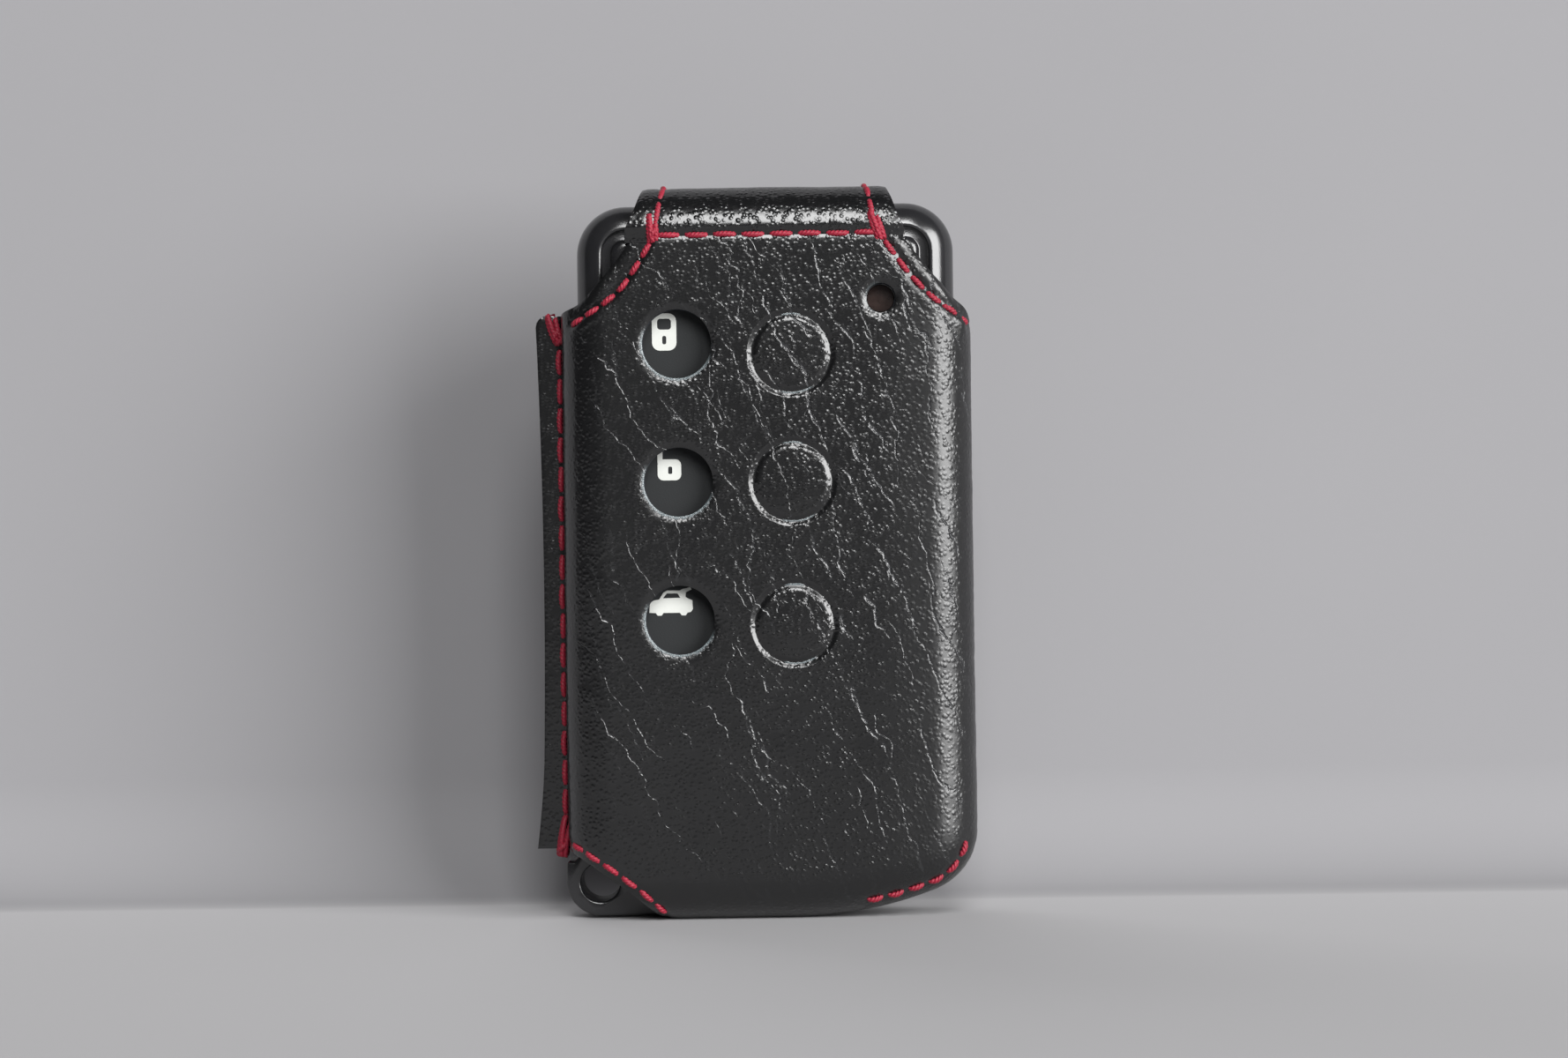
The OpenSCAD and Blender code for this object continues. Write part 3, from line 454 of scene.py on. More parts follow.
def choose(piece, kind, mask):
    """Selects only the faces, edges or vertices of a mask, in object mode."""
    kinds = ("vertices", "edges", "polygons")
    for name in kinds:
        group = getattr(piece.data, name)
        group.foreach_set("select", mask if name == kind else np.zeros(len(group), bool))
    bpy.context.tool_settings.mesh_select_mode = [kind == name for name in kinds]


def edit(piece, *steps):
    """Runs steps on a piece in edit mode."""
    take(piece)
    bpy.ops.object.mode_set(mode="EDIT")
    for step in steps:
        step()
    bpy.ops.object.mode_set(mode="OBJECT")


def whole(piece, step, **settings):
    """Runs one mesh operator on all of a piece."""
    edit(piece, lambda: bpy.ops.mesh.select_all(action="SELECT"), lambda: step(**settings))


def merge(piece, gap):
    """Merges vertices that lie within a gap."""
    whole(piece, bpy.ops.mesh.remove_doubles, threshold=gap)


def flip(piece):
    """Turns a piece's faces over."""
    whole(piece, bpy.ops.mesh.flip_normals)


def tidy(piece, gap=1e-6):
    """Merges doubles and turns the faces outward."""
    merge(piece, gap)
    whole(piece, bpy.ops.mesh.normals_make_consistent, inside=False)


def apply_modifier(piece, kind, **settings):
    """Adds a modifier with its settings and applies it."""
    take(piece)
    modifier = piece.modifiers.new(kind.title(), kind)
    for name, value in settings.items():
        setattr(modifier, name, value)
    bpy.ops.object.modifier_apply(modifier=modifier.name)


def round_edges(piece, width, angle, segments=2, **settings):
    """Rounds a piece's edges over an angle; the width is in millimetres."""
    apply_modifier(piece, "BEVEL", width=width * MM, segments=segments, limit_method="ANGLE",
                   angle_limit=math.radians(angle), **settings)


def soften(piece, angle=40):
    """Shades a piece smooth, with edges over an angle kept sharp."""
    take(piece)
    bpy.ops.object.shade_smooth_by_angle(angle=math.radians(angle))


def named(piece, name):
    """Gives a piece and its mesh one name."""
    piece.name = piece.data.name = name
    return piece


def new_grid(name, across, up):
    """A grid of faces, and the column and row of each of its vertices."""
    bpy.ops.object.select_all(action="DESELECT")
    bpy.ops.mesh.primitive_grid_add(x_subdivisions=across, y_subdivisions=up, size=2)
    piece = named(bpy.context.active_object, name)
    column, row, _ = np.rint((spots(piece) + 1) / 2 * (across, up, 0)).astype(int).T
    return piece, column, row


def rim_vertices(piece):
    """Vertices on open edges, and a mask of those edges."""
    mesh = piece.data
    edges = read(mesh.loops, "edge_index", kind=np.int32)
    is_open = np.bincount(edges, minlength=len(mesh.edges)) == 1
    return np.unique(read(mesh.edges, "vertices", 2, np.int32)[is_open]), is_open


def flat_sheet(name, columns, rows, cut, reach):
    """A flat sheet on given grid lines, trimmed where cut is above 0, its rim laid on the cut."""
    piece, column, row = new_grid(name, len(columns) - 1, len(rows) - 1)
    flat = np.stack([columns[column], rows[row], np.zeros(len(row))], 1)
    move_spots(piece, flat)
    corners = read(piece.data.loops, "vertex_index", kind=np.int32)
    middle = flat[corners.reshape(-1, 4)].mean(1)
    choose(piece, "polygons", cut(middle[:, 0], middle[:, 1]) > 0)
    edit(piece, lambda: bpy.ops.mesh.delete(type="FACE"))
    flat, rim = spots(piece), rim_vertices(piece)[0]
    u, v, step = flat[rim, 0], flat[rim, 1], 0.02
    for _ in range(10):
        past = cut(u, v)
        slope_u = (cut(u + step, v) - cut(u - step, v)) / (2 * step)
        slope_v = (cut(u, v + step) - cut(u, v - step)) / (2 * step)
        steep = np.maximum(slope_u ** 2 + slope_v ** 2, 0.04)
        u = u - np.clip(past * slope_u / steep, -reach, reach)
        v = v - np.clip(past * slope_v / steep, -reach, reach)
    flat[rim, 0], flat[rim, 1] = u, v
    move_spots(piece, flat)
    return piece


def fill_circle(piece, centre, radius, rings):
    """Fills a round opening of a flat sheet by extruding its rim inward, ring by ring."""
    places, is_open = spots(piece), rim_vertices(piece)[1]
    ends = read(piece.data.edges, "vertices", 2, np.int32)
    gap = np.abs(np.hypot(places[:, 0] - centre[0], places[:, 1] - centre[1]) - radius)
    choose(piece, "edges", is_open & (gap[ends].max(1) < 0.1))
    for ring in rings:
        edit(piece, bpy.ops.mesh.extrude_region_move)
        chosen = read(piece.data.vertices, "select", kind=bool)
        places = spots(piece)
        away = places[chosen, :2] - centre
        places[chosen, :2] = centre + away / np.linalg.norm(away, axis=1, keepdims=True) * ring
        move_spots(piece, places)
    edit(piece, lambda: bpy.ops.mesh.merge(type="CENTER"))


def loft(name, rings, closed_round=True):
    """A skin through rings of places, in millimetres; it closes round with caps, or stays open."""
    rings = np.array(rings)
    up, across = rings.shape[0] - 1, rings.shape[1]
    piece, column, row = new_grid(name, across if closed_round else across - 1, up)
    move_spots(piece, rings[row, column % across] * MM)
    merge(piece, 1e-7)
    if closed_round:
        whole(piece, bpy.ops.mesh.fill_holes, sides=0)
    tidy(piece, 1e-7)
    return piece


def plate(name, outline, front, back):
    """A flat plate with an outline in the front view, between two depths, in millimetres."""
    bpy.ops.object.select_all(action="DESELECT")
    bpy.ops.mesh.primitive_circle_add(vertices=len(outline), radius=1, fill_type="NGON")
    piece = named(bpy.context.active_object, name)
    turn = np.arctan2(spots(piece)[:, 0], spots(piece)[:, 1]) % (2 * math.pi)
    order = np.rint(turn / (2 * math.pi) * len(outline)).astype(int) % len(outline)
    outline = np.array(outline)[order]
    move_spots(piece, np.stack([outline[:, 0], np.full(len(order), back), outline[:, 1]], 1) * MM)
    whole(piece, bpy.ops.mesh.extrude_region_move,
          TRANSFORM_OT_translate={"value": (0, (front - back) * MM, 0)})
    tidy(piece, 1e-7)
    return piece


def rounded(x0, z0, x1, z1, radius, steps=5):
    """Outline of a rounded rectangle."""
    left, low, right, high = x0 + radius, z0 + radius, x1 - radius, z1 - radius
    return np.concatenate([
        arc(centre, radius, start, start + 90, steps) for start, centre in (
            (0, (right, high)), (90, (left, high)), (180, (left, low)), (270, (right, low)))])


def carve(piece, *cutters, operation="DIFFERENCE"):
    """Cuts cutters out of a piece, or adds them, and removes them."""
    for cutter in cutters:
        apply_modifier(piece, "BOOLEAN", object=cutter, operation=operation, solver="EXACT")
        bpy.data.objects.remove(cutter)


def join(name, *pieces):
    """Joins pieces into one."""
    take(pieces[0])
    for piece in pieces[1:]:
        piece.select_set(True)
    bpy.ops.object.join()
    return named(pieces[0], name)


def cover_with(piece, *finishes):
    """Gives a piece its materials."""
    piece.data.materials.clear()
    for name in finishes:
        piece.data.materials.append(finish(name))


def stand_in(piece, slot, *nodes):
    """Hides the CAD nodes that a piece stands for; the piece and slot arguments are not used."""
    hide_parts(*nodes)


# Shader maths


class Field:
    """A number, colour or vector that varies over a surface: one output of a shader node."""

    def __init__(self, finish, socket):
        self.finish, self.socket = finish, socket

    def joined(self, operation, first, second):
        return self.finish.node("ShaderNodeMath", {"operation": operation}, {0: first, 1: second})

    def __add__(self, other):
        return self.joined("ADD", self, other)

    __radd__ = __add__

    def __sub__(self, other):
        return self.joined("SUBTRACT", self, other)

    def __mul__(self, other):
        return self.joined("MULTIPLY", self, other)

    __rmul__ = __mul__

    def __mod__(self, other):
        return self.joined("FLOORED_MODULO", self, other)

    def __pow__(self, other):
        return self.joined("POWER", self, other)

    def __abs__(self):
        return self.joined("ABSOLUTE", self, 0)


class Finish:
    """A procedural material, built from shader nodes."""

    def __init__(self, name):
        self.material = bpy.data.materials.new(name)
        self.material.use_nodes = True
        self.tree = self.material.node_tree
        self.tree.nodes.clear()
        self.out = self.tree.nodes.new("ShaderNodeOutputMaterial")

    def node(self, kind, settings=None, sockets=None, output=0):
        """Adds a node: its settings first, then the values or links of its sockets."""
        node = self.tree.nodes.new(kind)
        for name, value in (settings or {}).items():
            setattr(node, name, value)
        for name, value in (sockets or {}).items():
            if isinstance(value, Field):
                self.tree.links.new(value.socket, node.inputs[name])
            else:
                node.inputs[name].default_value = value
        return Field(self, node.outputs[output])

    def arrow(self, operation, first, second, name=1):
        """Vector maths of two values."""
        return self.node("ShaderNodeVectorMath", {"operation": operation}, {0: first, name: second})

    def spot(self, scale=(1, 1, 1), turn=(0, 0, 0), shift=(0, 0, 0)):
        """The place on the object in millimetres, turned and scaled."""
        place = self.node("ShaderNodeTexCoord", output=3)
        place = self.node("ShaderNodeMapping", {"vector_type": "TEXTURE"}, {
            "Vector": place, "Rotation": turn, "Location": tuple(s * MM for s in shift)})
        return self.arrow("MULTIPLY", place, tuple(s / MM for s in scale))

    def side(self, name):
        """One coordinate of the place, in millimetres."""
        return self.node("ShaderNodeSeparateXYZ", None, {"Vector": self.spot()},
                         output="XYZ".index(name))

    def cloud(self, place, scale, detail=2.0, rough=0.5):
        """Soft noise from 0 to 1."""
        return self.node("ShaderNodeTexNoise", None, {
            "Vector": place, "Scale": scale, "Detail": detail, "Roughness": rough})

    def cells(self, place, scale, feature="F1", randomness=1.0):
        """Distances of a cell pattern."""
        return self.node("ShaderNodeTexVoronoi", {"feature": feature}, {
            "Vector": place, "Scale": scale, "Randomness": randomness})

    def pushed(self, place, amount, scale):
        """A place shifted by soft noise."""
        drift = self.node("ShaderNodeTexNoise", None, {
            "Vector": place, "Scale": scale, "Detail": 1.0}, output=1)
        drift = self.arrow("SUBTRACT", drift, (0.5, 0.5, 0.5))
        return self.arrow("ADD", place, self.arrow("SCALE", drift, amount, "Scale"))

    def ramp(self, field, low, high, first=0.0, last=1.0):
        """Smooth step of a field from first at low to last at high."""
        return self.node("ShaderNodeMapRange", {"interpolation_type": "SMOOTHSTEP"}, {
            "Value": field, "From Min": low, "From Max": high, "To Min": first, "To Max": last})

    def mix(self, share, first, second):
        """Mix of two colours."""
        return self.node("ShaderNodeMix", {"data_type": "RGBA"}, {0: share, 6: first, 7: second},
                         output=2)

    def surface(self, height, base_color, roughness, gloss=0.5, **sockets):
        """Ends the material in one principled shader; height is a bump in millimetres."""
        bump = self.node("ShaderNodeBump", None, {
            "Height": height, "Distance": MM, "Strength": 1.0})
        return self.end(self.node("ShaderNodeBsdfPrincipled", None, {
            "Base Color": base_color, "Roughness": roughness, "Specular IOR Level": gloss,
            "Normal": bump, **sockets}))

    def end(self, shader):
        """Joins the last shader to the output."""
        self.tree.links.new(shader.socket, self.out.inputs["Surface"])
        return self.material


def shade(tint, share):
    """A colour made darker or paler by a share."""
    return (*(min(1, share * c) for c in tint[:3]), 1)


def leather_finish(name, creased):
    """Black semi-gloss leather with a round pebbled grain; the sleeve's is creased and worn, with
    its creases and the lit rims of its holes painted paler, partly as painted highlight.
    """
    f = Finish(name)
    place = f.spot()
    near = f.cells(f.pushed(place, 0.12, 1.5), 2.1)
    fine, patch = f.cloud(place, 7.0, 3.0, 0.6), f.cloud(place, 0.14)
    bold = f.cloud(place, 1.1)
    grain = f.ramp(patch, 0.3, 0.7, 0.8, 1.15) * f.ramp(bold, 0.3, 0.7, 0.6, 1.4)
    rough = 0.165 + 0.08 * fine + 0.04 * patch
    dome = f.ramp(near, 0.08, 0.62, 1.0, 0.0)
    height = (0.027 if creased else 0.036) * dome * grain + 0.001 * fine
    tone = colour("leather")
    if creased:
        x, crease_and_glint, rim = f.side("X"), creases(f, place), frayed_rims_and_painted_highlight(f, place)
        height = height * f.ramp(x, -18.0, 12.0, 0.65, 1.12) - 0.09 * crease_and_glint + 0.06 * rim * fine
        rough = rough + f.ramp(x, 9.0, 18.0, 0.0, 0.09)
        # Creases painted paler: partly worn dry cracks, partly a painted highlight where their
        # edges would catch the light.
        tone = f.mix(0.35 * crease_and_glint, tone, colour("crease_and_glint"))
        # Pale bare fibres at the hole rims, partly a painted highlight on their lit side.
        tone = f.mix(rim, tone, colour("fibre"))
    return f.surface(height, tone, rough, 0.8)


def creases(f, place):
    """Long broken creases that run down to the right, strongest on the right."""
    x, z = f.side("X"), f.side("Z")
    bead = f.ramp(f.cloud(place, 2.4), 0.4, 0.6, 0.15, 1.0) * f.ramp(z, 6.0, 26.0, 0.35, 1.0)
    drift = 0.5 * f.cloud(place, 0.55)
    total = 0
    for angle, pitch, shift, width, low, high in (
            (67, 2.7, 0, 0.22, -9.0, 8.0), (54, 3.2, 5, 0.12, 9.0, -8.0),
            (78, 4.2, 11, 0.17, -14.0, 0.0)):
        turn = math.radians(angle)
        wave = f.cloud(f.spot(shift=(shift, 0, 0)), 0.11) * (6.0 / pitch) + drift
        lane = (x * (math.sin(turn) / pitch) + z * (math.cos(turn) / pitch) + wave) % 1
        drawn = f.spot((0.5, 0.5, 0.16), (0, math.radians(angle - 90), 0), (shift, 3, 7))
        broken = f.ramp(f.cloud(drawn, 0.62, 3.0), 0.47, 0.6) * f.ramp(x, low, high, 0.25, 1.0)
        total = total + f.ramp(abs(lane - 0.5), 0.0, width / pitch, width / 0.22, 0.0) * broken
    return total * bead * f.ramp(x, -20.0, -18.0)


def frayed_rims_and_painted_highlight(f, place):
    """Share of bare fibres: left and low rims of the button holes, cut ends of the circles; the
    pale rims are kept to the side where the light falls, so they are partly a painted highlight.
    """
    x, z = f.side("X"), f.side("Z")
    fray = f.cloud(place, 3.0, 3.0, 0.7)

    def round_place(centre, name):
        dx, dz = x - centre[0], z - centre[1]
        return dx, dz, (dx * dx + dz * dz) ** 0.5 - size(name) / 2

    rim = 0
    for centre in PUNCHES:
        dx, dz, gap = round_place(centre, "punch")
        gap = gap + 0.9 * (fray - 0.5)
        # Pale fibres only on the left and low side, where the light falls: partly a painted
        # highlight.
        rim = rim + f.ramp(gap, 0.1, 0.34, 1.0, 0.0) * f.ramp(dx * 0.7 + 1.6 * dz, 1.2, -2.5)
    for centre in CIRCLES:
        dx, dz, gap = round_place(centre, "circle")
        gap = abs(gap + 0.25 * (fray - 0.5))
        ends = f.ramp(abs(dx), 0.7, 1.1, 1.0, 0.0) * f.ramp(dz, 0.0, 1.0)
        ends = ends + f.ramp(abs(dx - 0.5), 1.2, 1.8, 1.0, 0.0) * f.ramp(dz, 0.0, -1.0)
        rim = rim + f.ramp(gap, 0.03, 0.11, 1.0, 0.0) * ends
    dx, _, gap = round_place(LED, "indicator")
    gap = gap + 0.7 * (fray - 0.5)
    # Pale fibres only on the left of the indicator hole, partly a painted highlight.
    rim = rim + 0.3 * f.ramp(gap, 0.0, 0.3, 1.0, 0.0) * f.ramp(dx, 0.2, -1.2)
    return rim * f.ramp(f.side("Y"), -5.0, -4.0, 1.0, 0.0)


def edge_finish():
    """Black painted cut edge, slightly uneven."""
    f = Finish("painted_leather_edge")
    fibre = f.cloud(f.spot(), 4.0, 4.0, 0.65)
    tone = f.mix(f.ramp(fibre, 0.5, 0.8), (0.012, 0.012, 0.013, 1), (0.05, 0.05, 0.054, 1))
    return f.surface(0.05 * fibre, tone, 0.45 + 0.2 * fibre)


def punched_finish():
    """Raw cut edge of the button holes: blue-grey fibres, paler in patches."""
    f = Finish("punched_leather_edge")
    fibre, lift = f.cloud(f.spot(), 5.5, 4.0, 0.7), f.cloud(f.spot(), 0.7)
    pale = f.ramp(fibre + 0.6 * lift, 0.6, 0.85)
    tone = f.mix(pale, (0.03, 0.033, 0.038, 1), colour("fibre"))
    return f.surface(0.12 * fibre, tone, 0.9, 0.25)


def suede_finish(name, tone):
    """Matt split leather."""
    f = Finish(name)
    nap = f.cloud(f.spot(), 3.5, 4.0, 0.7)
    base = f.mix(f.ramp(nap, 0.3, 0.75), shade(tone, 0.6), tone)
    return f.surface(0.08 * nap, base, 0.85 + 0.1 * nap, 0.2)


def thread_finish():
    """Crimson twisted polyester with painted shade between its fibres, painted highlights in
    patches, and a fine sheen.
    """
    f = Finish("crimson_thread")
    fibre, patch = f.cloud(f.spot(), 14.0, 3.0, 0.6), f.cloud(f.spot(), 0.5, 1.0)
    base = colour("thread")
    # Painted shade: a darker copy of the thread colour where the fibre bump is low.
    deep = (base[0] * 0.42, base[1] * 0.4, base[2] * 0.42, 1)
    # Painted highlight: a paler copy of the thread colour, in patches where the fibre bump is high.
    lit = (min(base[0] * 1.35, 1), base[1] * 1.8, base[2] * 1.4, 1)
    tone = f.mix(f.ramp(fibre, 0.32, 0.6), deep, base)
    tone = f.mix(f.ramp(fibre * patch, 0.3, 0.42) * 0.6, tone, lit)
    return f.surface(0.03 * fibre, tone, 0.42 + 0.2 * fibre,
                     **{"Sheen Weight": 0.08, "Sheen Roughness": 0.4})


def plastic_finish(name, tone, roughness, texture=0.004, scale=9.0, gloss=0.5):
    """Moulded plastic with a fine spark texture."""
    f = Finish(name)
    spark, haze = f.cells(f.spot(), scale), f.cloud(f.spot(), 0.35, 3.0)
    base = f.mix(haze * 0.5, tone, shade(tone, 1.35))
    return f.surface(texture * spark, base, roughness + 0.1 * haze, gloss)


def metal_finish(name, tone, roughness, stretch=(1, 1, 1)):
    """Brushed or plated metal; stretch draws out the marks."""
    f = Finish(name)
    marks, haze = f.cloud(f.spot(stretch), 6.0, 3.0, 0.6), f.cloud(f.spot(), 0.5)
    base = f.mix(haze, tone, shade(tone, 0.8))
    return f.surface(0.003 * marks, base, roughness + 0.15 * marks, Metallic=1.0)


def board_finish():
    """Green solder mask with tracks and pads."""
    f = Finish("board_mask")
    edge = f.cells(f.spot(), 0.45, "DISTANCE_TO_EDGE", 0.35)
    track = f.ramp(edge, 0.05, 0.09, 1.0, 0.0)
    tone = f.mix(track * 0.6, (0.008, 0.10, 0.035, 1), (0.02, 0.2, 0.07, 1))
    return f.surface(0.02 * track, tone, 0.35 + 0.2 * f.cloud(f.spot(), 2.0))


def coil_finish():
    """Varnished wire wound on ferrite."""
    f = Finish("wound_coil")
    wire = f.node("ShaderNodeTexWave", {"bands_direction": "Z"}, {
        "Vector": f.spot(), "Scale": 1.6, "Distortion": 0.4}, output=1)
    tone = f.mix(wire, (0.10, 0.03, 0.012, 1), (0.42, 0.17, 0.07, 1))
    return f.surface(0.05 * wire, tone, 0.3 + 0.15 * f.cloud(f.spot(), 1.0))


def lens_finish():
    """Dark tinted indicator lens."""
    f = Finish("tinted_lens")
    haze = f.cloud(f.spot(), 1.5)
    tone = f.mix(haze, (0.012, 0.007, 0.006, 1), (0.035, 0.018, 0.014, 1))
    return f.surface(0.004 * haze, tone, 0.2 + 0.1 * haze)


def backdrop_finish():
    """Plain matt floor and backdrop, clear when seen from behind or below; the floor is painted
    paler than the backdrop as painted fill light, since less light falls on it.
    """
    f = Finish("plain_backdrop")
    haze = f.cloud(f.spot(), 0.02)
    wall = f.mix(haze, colour("backdrop"), shade(colour("backdrop"), 0.94))
    # Painted fill light: the floor colour is paler than the backdrop's because less light falls on
    # the floor.
    tone = f.mix(f.ramp(f.side("Y"), 10.5, 16.5), colour("floor"), wall)
    matt = f.node("ShaderNodeBsdfDiffuse", None, {"Color": tone})
    clear = f.node("ShaderNodeBsdfTransparent")
    behind = f.node("ShaderNodeNewGeometry", output="Backfacing")
    return f.end(f.node("ShaderNodeMixShader", None, {0: behind, 1: matt, 2: clear}))


MAKERS = {
    "leather": lambda: leather_finish("grained_leather", True),
    "strap": lambda: leather_finish("strap_leather", False),
    "edge": edge_finish,
    "punched": punched_finish,
    "suede": lambda: suede_finish("lining_suede", colour("suede")),
    "flesh": lambda: suede_finish("leather_flesh", (0.03, 0.03, 0.034, 1)),
    "thread": thread_finish,
    "casing": lambda: plastic_finish("satin_casing", colour("casing"), 0.15, gloss=0.85),
    "button": lambda: plastic_finish("matt_buttons", colour("button"), 0.7, 0.006, 6.0, 0.25),
    "symbol": lambda: plastic_finish("printed_symbols", colour("symbol"), 0.6, 0.002),
    "rubber": lambda: plastic_finish("moulded_rubber", (0.05, 0.05, 0.052, 1), 0.7),
    "chip": lambda: plastic_finish("chip_resin", (0.018, 0.018, 0.019, 1), 0.5),
    "lamp": lambda: plastic_finish("lamp_resin", (0.75, 0.74, 0.68, 1), 0.25),
    "steel": lambda: metal_finish("brushed_steel", (0.55, 0.55, 0.56, 1), 0.3, (1, 1, 0.05)),
    "nickel": lambda: metal_finish("nickel_plate", (0.6, 0.59, 0.57, 1), 0.2),
    "contact": lambda: metal_finish("plated_contact", (0.7, 0.55, 0.25, 1), 0.3),
    "board": board_finish,
    "coil": coil_finish,
    "lens": lens_finish,
    "backdrop": backdrop_finish,
}
FINISHES = {}


def finish(name):
    """A material of this object, made on first use."""
    if name not in FINISHES:
        FINISHES[name] = MAKERS[name]()
    return FINISHES[name]


# Leather pieces

SUEDE_CELL = 1.0
SEAM_GAP = 0.03 * MM
CIRCLE_SHEET = 0.62


def hole_gap(x, z, centre, name):
    """Distance from the edge of a round place of the panel, negative inside it."""
    return np.hypot(x - centre[0], z - centre[1]) - size(name) / 2


def sleeve_cut(side, inset):
    """Cut of the flat sleeve leather: above 0 past its edges and in its holes."""

    def cut(u, v):
        x, y, z = wrap(u, v, side)[0].T
        past = outline_distance(x, z, SILHOUETTE) + inset
        radius, (gap, _, _, out_x, _) = size("edge_radius"), beyond_core(u, v)
        closing = gap - (radius * QUARTER + HALF_T - radius)
        past = np.maximum(past, np.where(to_the_left(out_x), -1, closing))
        for way, gate_x, gate_y, gate_z in (RING_GATE, HEEL_GATE):
            gate = np.maximum(np.maximum(way * (gate_x - x), np.abs(y) - gate_y), z - gate_z)
            past = np.maximum(past, -gate)
        if side > 0:
            notch = EYE_NOTCH_R - np.hypot(x - EYE[0], z - EYE[1])
            return np.maximum(past, np.maximum(z - BACK_TOP, notch) + inset)
        for centre, name in [(c, "punch") for c in PUNCHES] + [(LED, "indicator")]:
            past = np.maximum(past, -hole_gap(x, z, centre, name))
        if inset == 0:
            for centre in CIRCLES:
                past = np.maximum(past, CIRCLE_SHEET - hole_gap(x, z, centre, "circle"))
        return past

    return cut


def circle_rings():
    """Radii of the rings of faces that fill an embossed circle, close together at its groove."""
    groove = (0.5, 0.38, 0.28, 0.19, 0.1)
    steps = [*groove, 0, *(-g for g in groove[::-1]), -0.8, *np.arange(-1.2, -3.7, -0.4)]
    return [size("circle") / 2 + step for step in steps]


def sleeve_half(name, side, cell, inset, depth):
    """Front or back half of a layer of the sleeve, a depth under the cover's outer surface."""
    fold = FLAT_HALF + size("edge_radius") * QUARTER + SIDE_WALL
    edge, bend_start, bend_end, right = -fold - 4.6, -fold - 1.1, -fold + 0.2, 27.6
    columns = np.concatenate([
        np.arange(edge, bend_start, min(cell, 0.4)),
        np.arange(bend_start, bend_end, min(cell, 0.16)), np.arange(bend_end, right, cell)])
    rows = np.arange(-6.8, PANEL_TOP + 0.7, cell)
    half = flat_sheet(name, columns, rows, sleeve_cut(side, inset), cell)
    if side < 0 and inset == 0:
        for centre in CIRCLES:
            fill_circle(half, np.array(centre), size("circle") / 2 + CIRCLE_SHEET, circle_rings())
    flat = spots(half)
    place, out = wrap(flat[:, 0], flat[:, 1], side)
    relief = leather_relief(place, side) if inset == 0 else np.zeros(len(flat))
    place += out * (relief - depth).reshape(-1, 1)
    place[:, 2] = np.maximum(place[:, 2], depth)
    move_spots(half, place * MM)
    if side > 0:
        flip(half)
    return half


def sleeve_layer(name, cell, inset, depth):
    """Front and back halves of a layer of the sleeve, joined along its fold."""
    layer = join(name, *(sleeve_half(name, side, cell, inset, depth) for side in (-1, 1)))
    merge(layer, SEAM_GAP)
    return layer


def at_punch(piece):
    """Mask of the faces at the punched button holes."""
    x, y, z = (read(piece.data.polygons, "center", 3) / MM).T
    near = [hole_gap(x, z, centre, "punch") < 0.3 for centre in PUNCHES]
    return np.any(near, axis=0) & (y < 0)


def leather_edges(piece, thickness, bevel=0.16):
    """Gives a sheet of leather its thickness, with rounded cut edges and their own material."""
    apply_modifier(piece, "SOLIDIFY", thickness=thickness * MM, offset=-1, use_even_offset=True,
                   use_rim=True, material_offset=3, material_offset_rim=1)
    round_edges(piece, bevel, 60, use_clamp_overlap=True)
    soften(piece, 50)


def suede_sheet(piece):
    """Gives a lining its thickness and finish."""
    cover_with(piece, "suede")
    apply_modifier(piece, "SOLIDIFY", thickness=size("lining") * MM, offset=-1, use_rim=True)
    soften(piece, 50)


class FOB_COVER_OT_sleeve(bpy.types.Operator):
    """Wraps the grained leather, its lining and the folded tongue round the key."""

    bl_idname = "fob_cover.sleeve"
    bl_label = "Leather Sleeve"

    def execute(self, context):
        sleeve = sleeve_layer("sleeve_leather", size("cell"), 0, 0)
        cover_with(sleeve, "leather", "edge", "punched", "flesh")
        leather_edges(sleeve, size("leather"))
        slots = read(sleeve.data.polygons, "material_index", kind=np.int32)
        slots[at_punch(sleeve) & (slots == 1)] = 2
        sleeve.data.polygons.foreach_set("material_index", slots)
        tongue = self.tongue()
        lining = sleeve_layer("sleeve_lining", SUEDE_CELL, 0.12, size("leather") + 0.01)
        suede_sheet(lining)
        for piece in (sleeve, tongue, lining):
            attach(piece, "cover")
        stand_in(sleeve, "leather", "outer_leather")
        stand_in(lining, "lining", "lining")
        return {"FINISHED"}

    def tongue(self):
        """The bottom's tongue, folded up the back."""
        half, top, radius, corner, cell = 9.2, 13.0, 5.8, 3.0, 0.5
        path = np.concatenate([
            [(2.9, 0.25), (3.3, 0.08)], arc((3.75, radius), radius, -88, 0, 12),
            [(3.75 + radius, z) for z in np.linspace(radius + 0.5, top, 15)]])
        run = line_run(path)
        total = run[-1]

        def cut(u, v):
            du, dv = np.abs(u) - (half - corner), v - (total - corner)
            past = np.where((du > 0) & (dv > 0), np.hypot(du, dv), np.maximum(du, dv)) - corner
            return np.maximum(past, -v)

        tongue = flat_sheet("bottom_tongue", np.arange(-half - cell, half + 0.6, cell),
                            np.arange(-cell, total + 0.6, cell), cut, cell)
        u, v, _ = spots(tongue).T
        place = np.stack([u, *along(v, run, path)], 1)
        way = along(v + 0.2, run, path) - along(v - 0.2, run, path)
        way /= np.maximum(np.linalg.norm(way, axis=0), 1e-9)
        out = np.stack([np.zeros(len(u)), way[1], -way[0]], 1)
        seam = np.minimum(np.abs(np.abs(u) - half + 1.0), np.abs(v - total + 1.0))
        height = 0.05 * ripple(place, 0.2, 12)
        height += 0.1 * smooth(seam, 0.3, 1.2) - 0.13 * ditch(seam, 0.3)
        move_spots(tongue, (place + out * height.reshape(-1, 1)) * MM)
        flip(tongue)
        cover_with(tongue, "strap", "edge", "edge", "flesh")
        leather_edges(tongue, 1.0)
        return tongue


def line_run(line):
    """Length along a line up to each of its places."""
    return np.concatenate([[0], np.cumsum(np.linalg.norm(np.diff(line, axis=0), axis=1))])


def along(run, runs, table):
    """Values of a table's columns at lengths along a line."""
    return np.array([np.interp(run, runs, column) for column in np.transpose(table)])


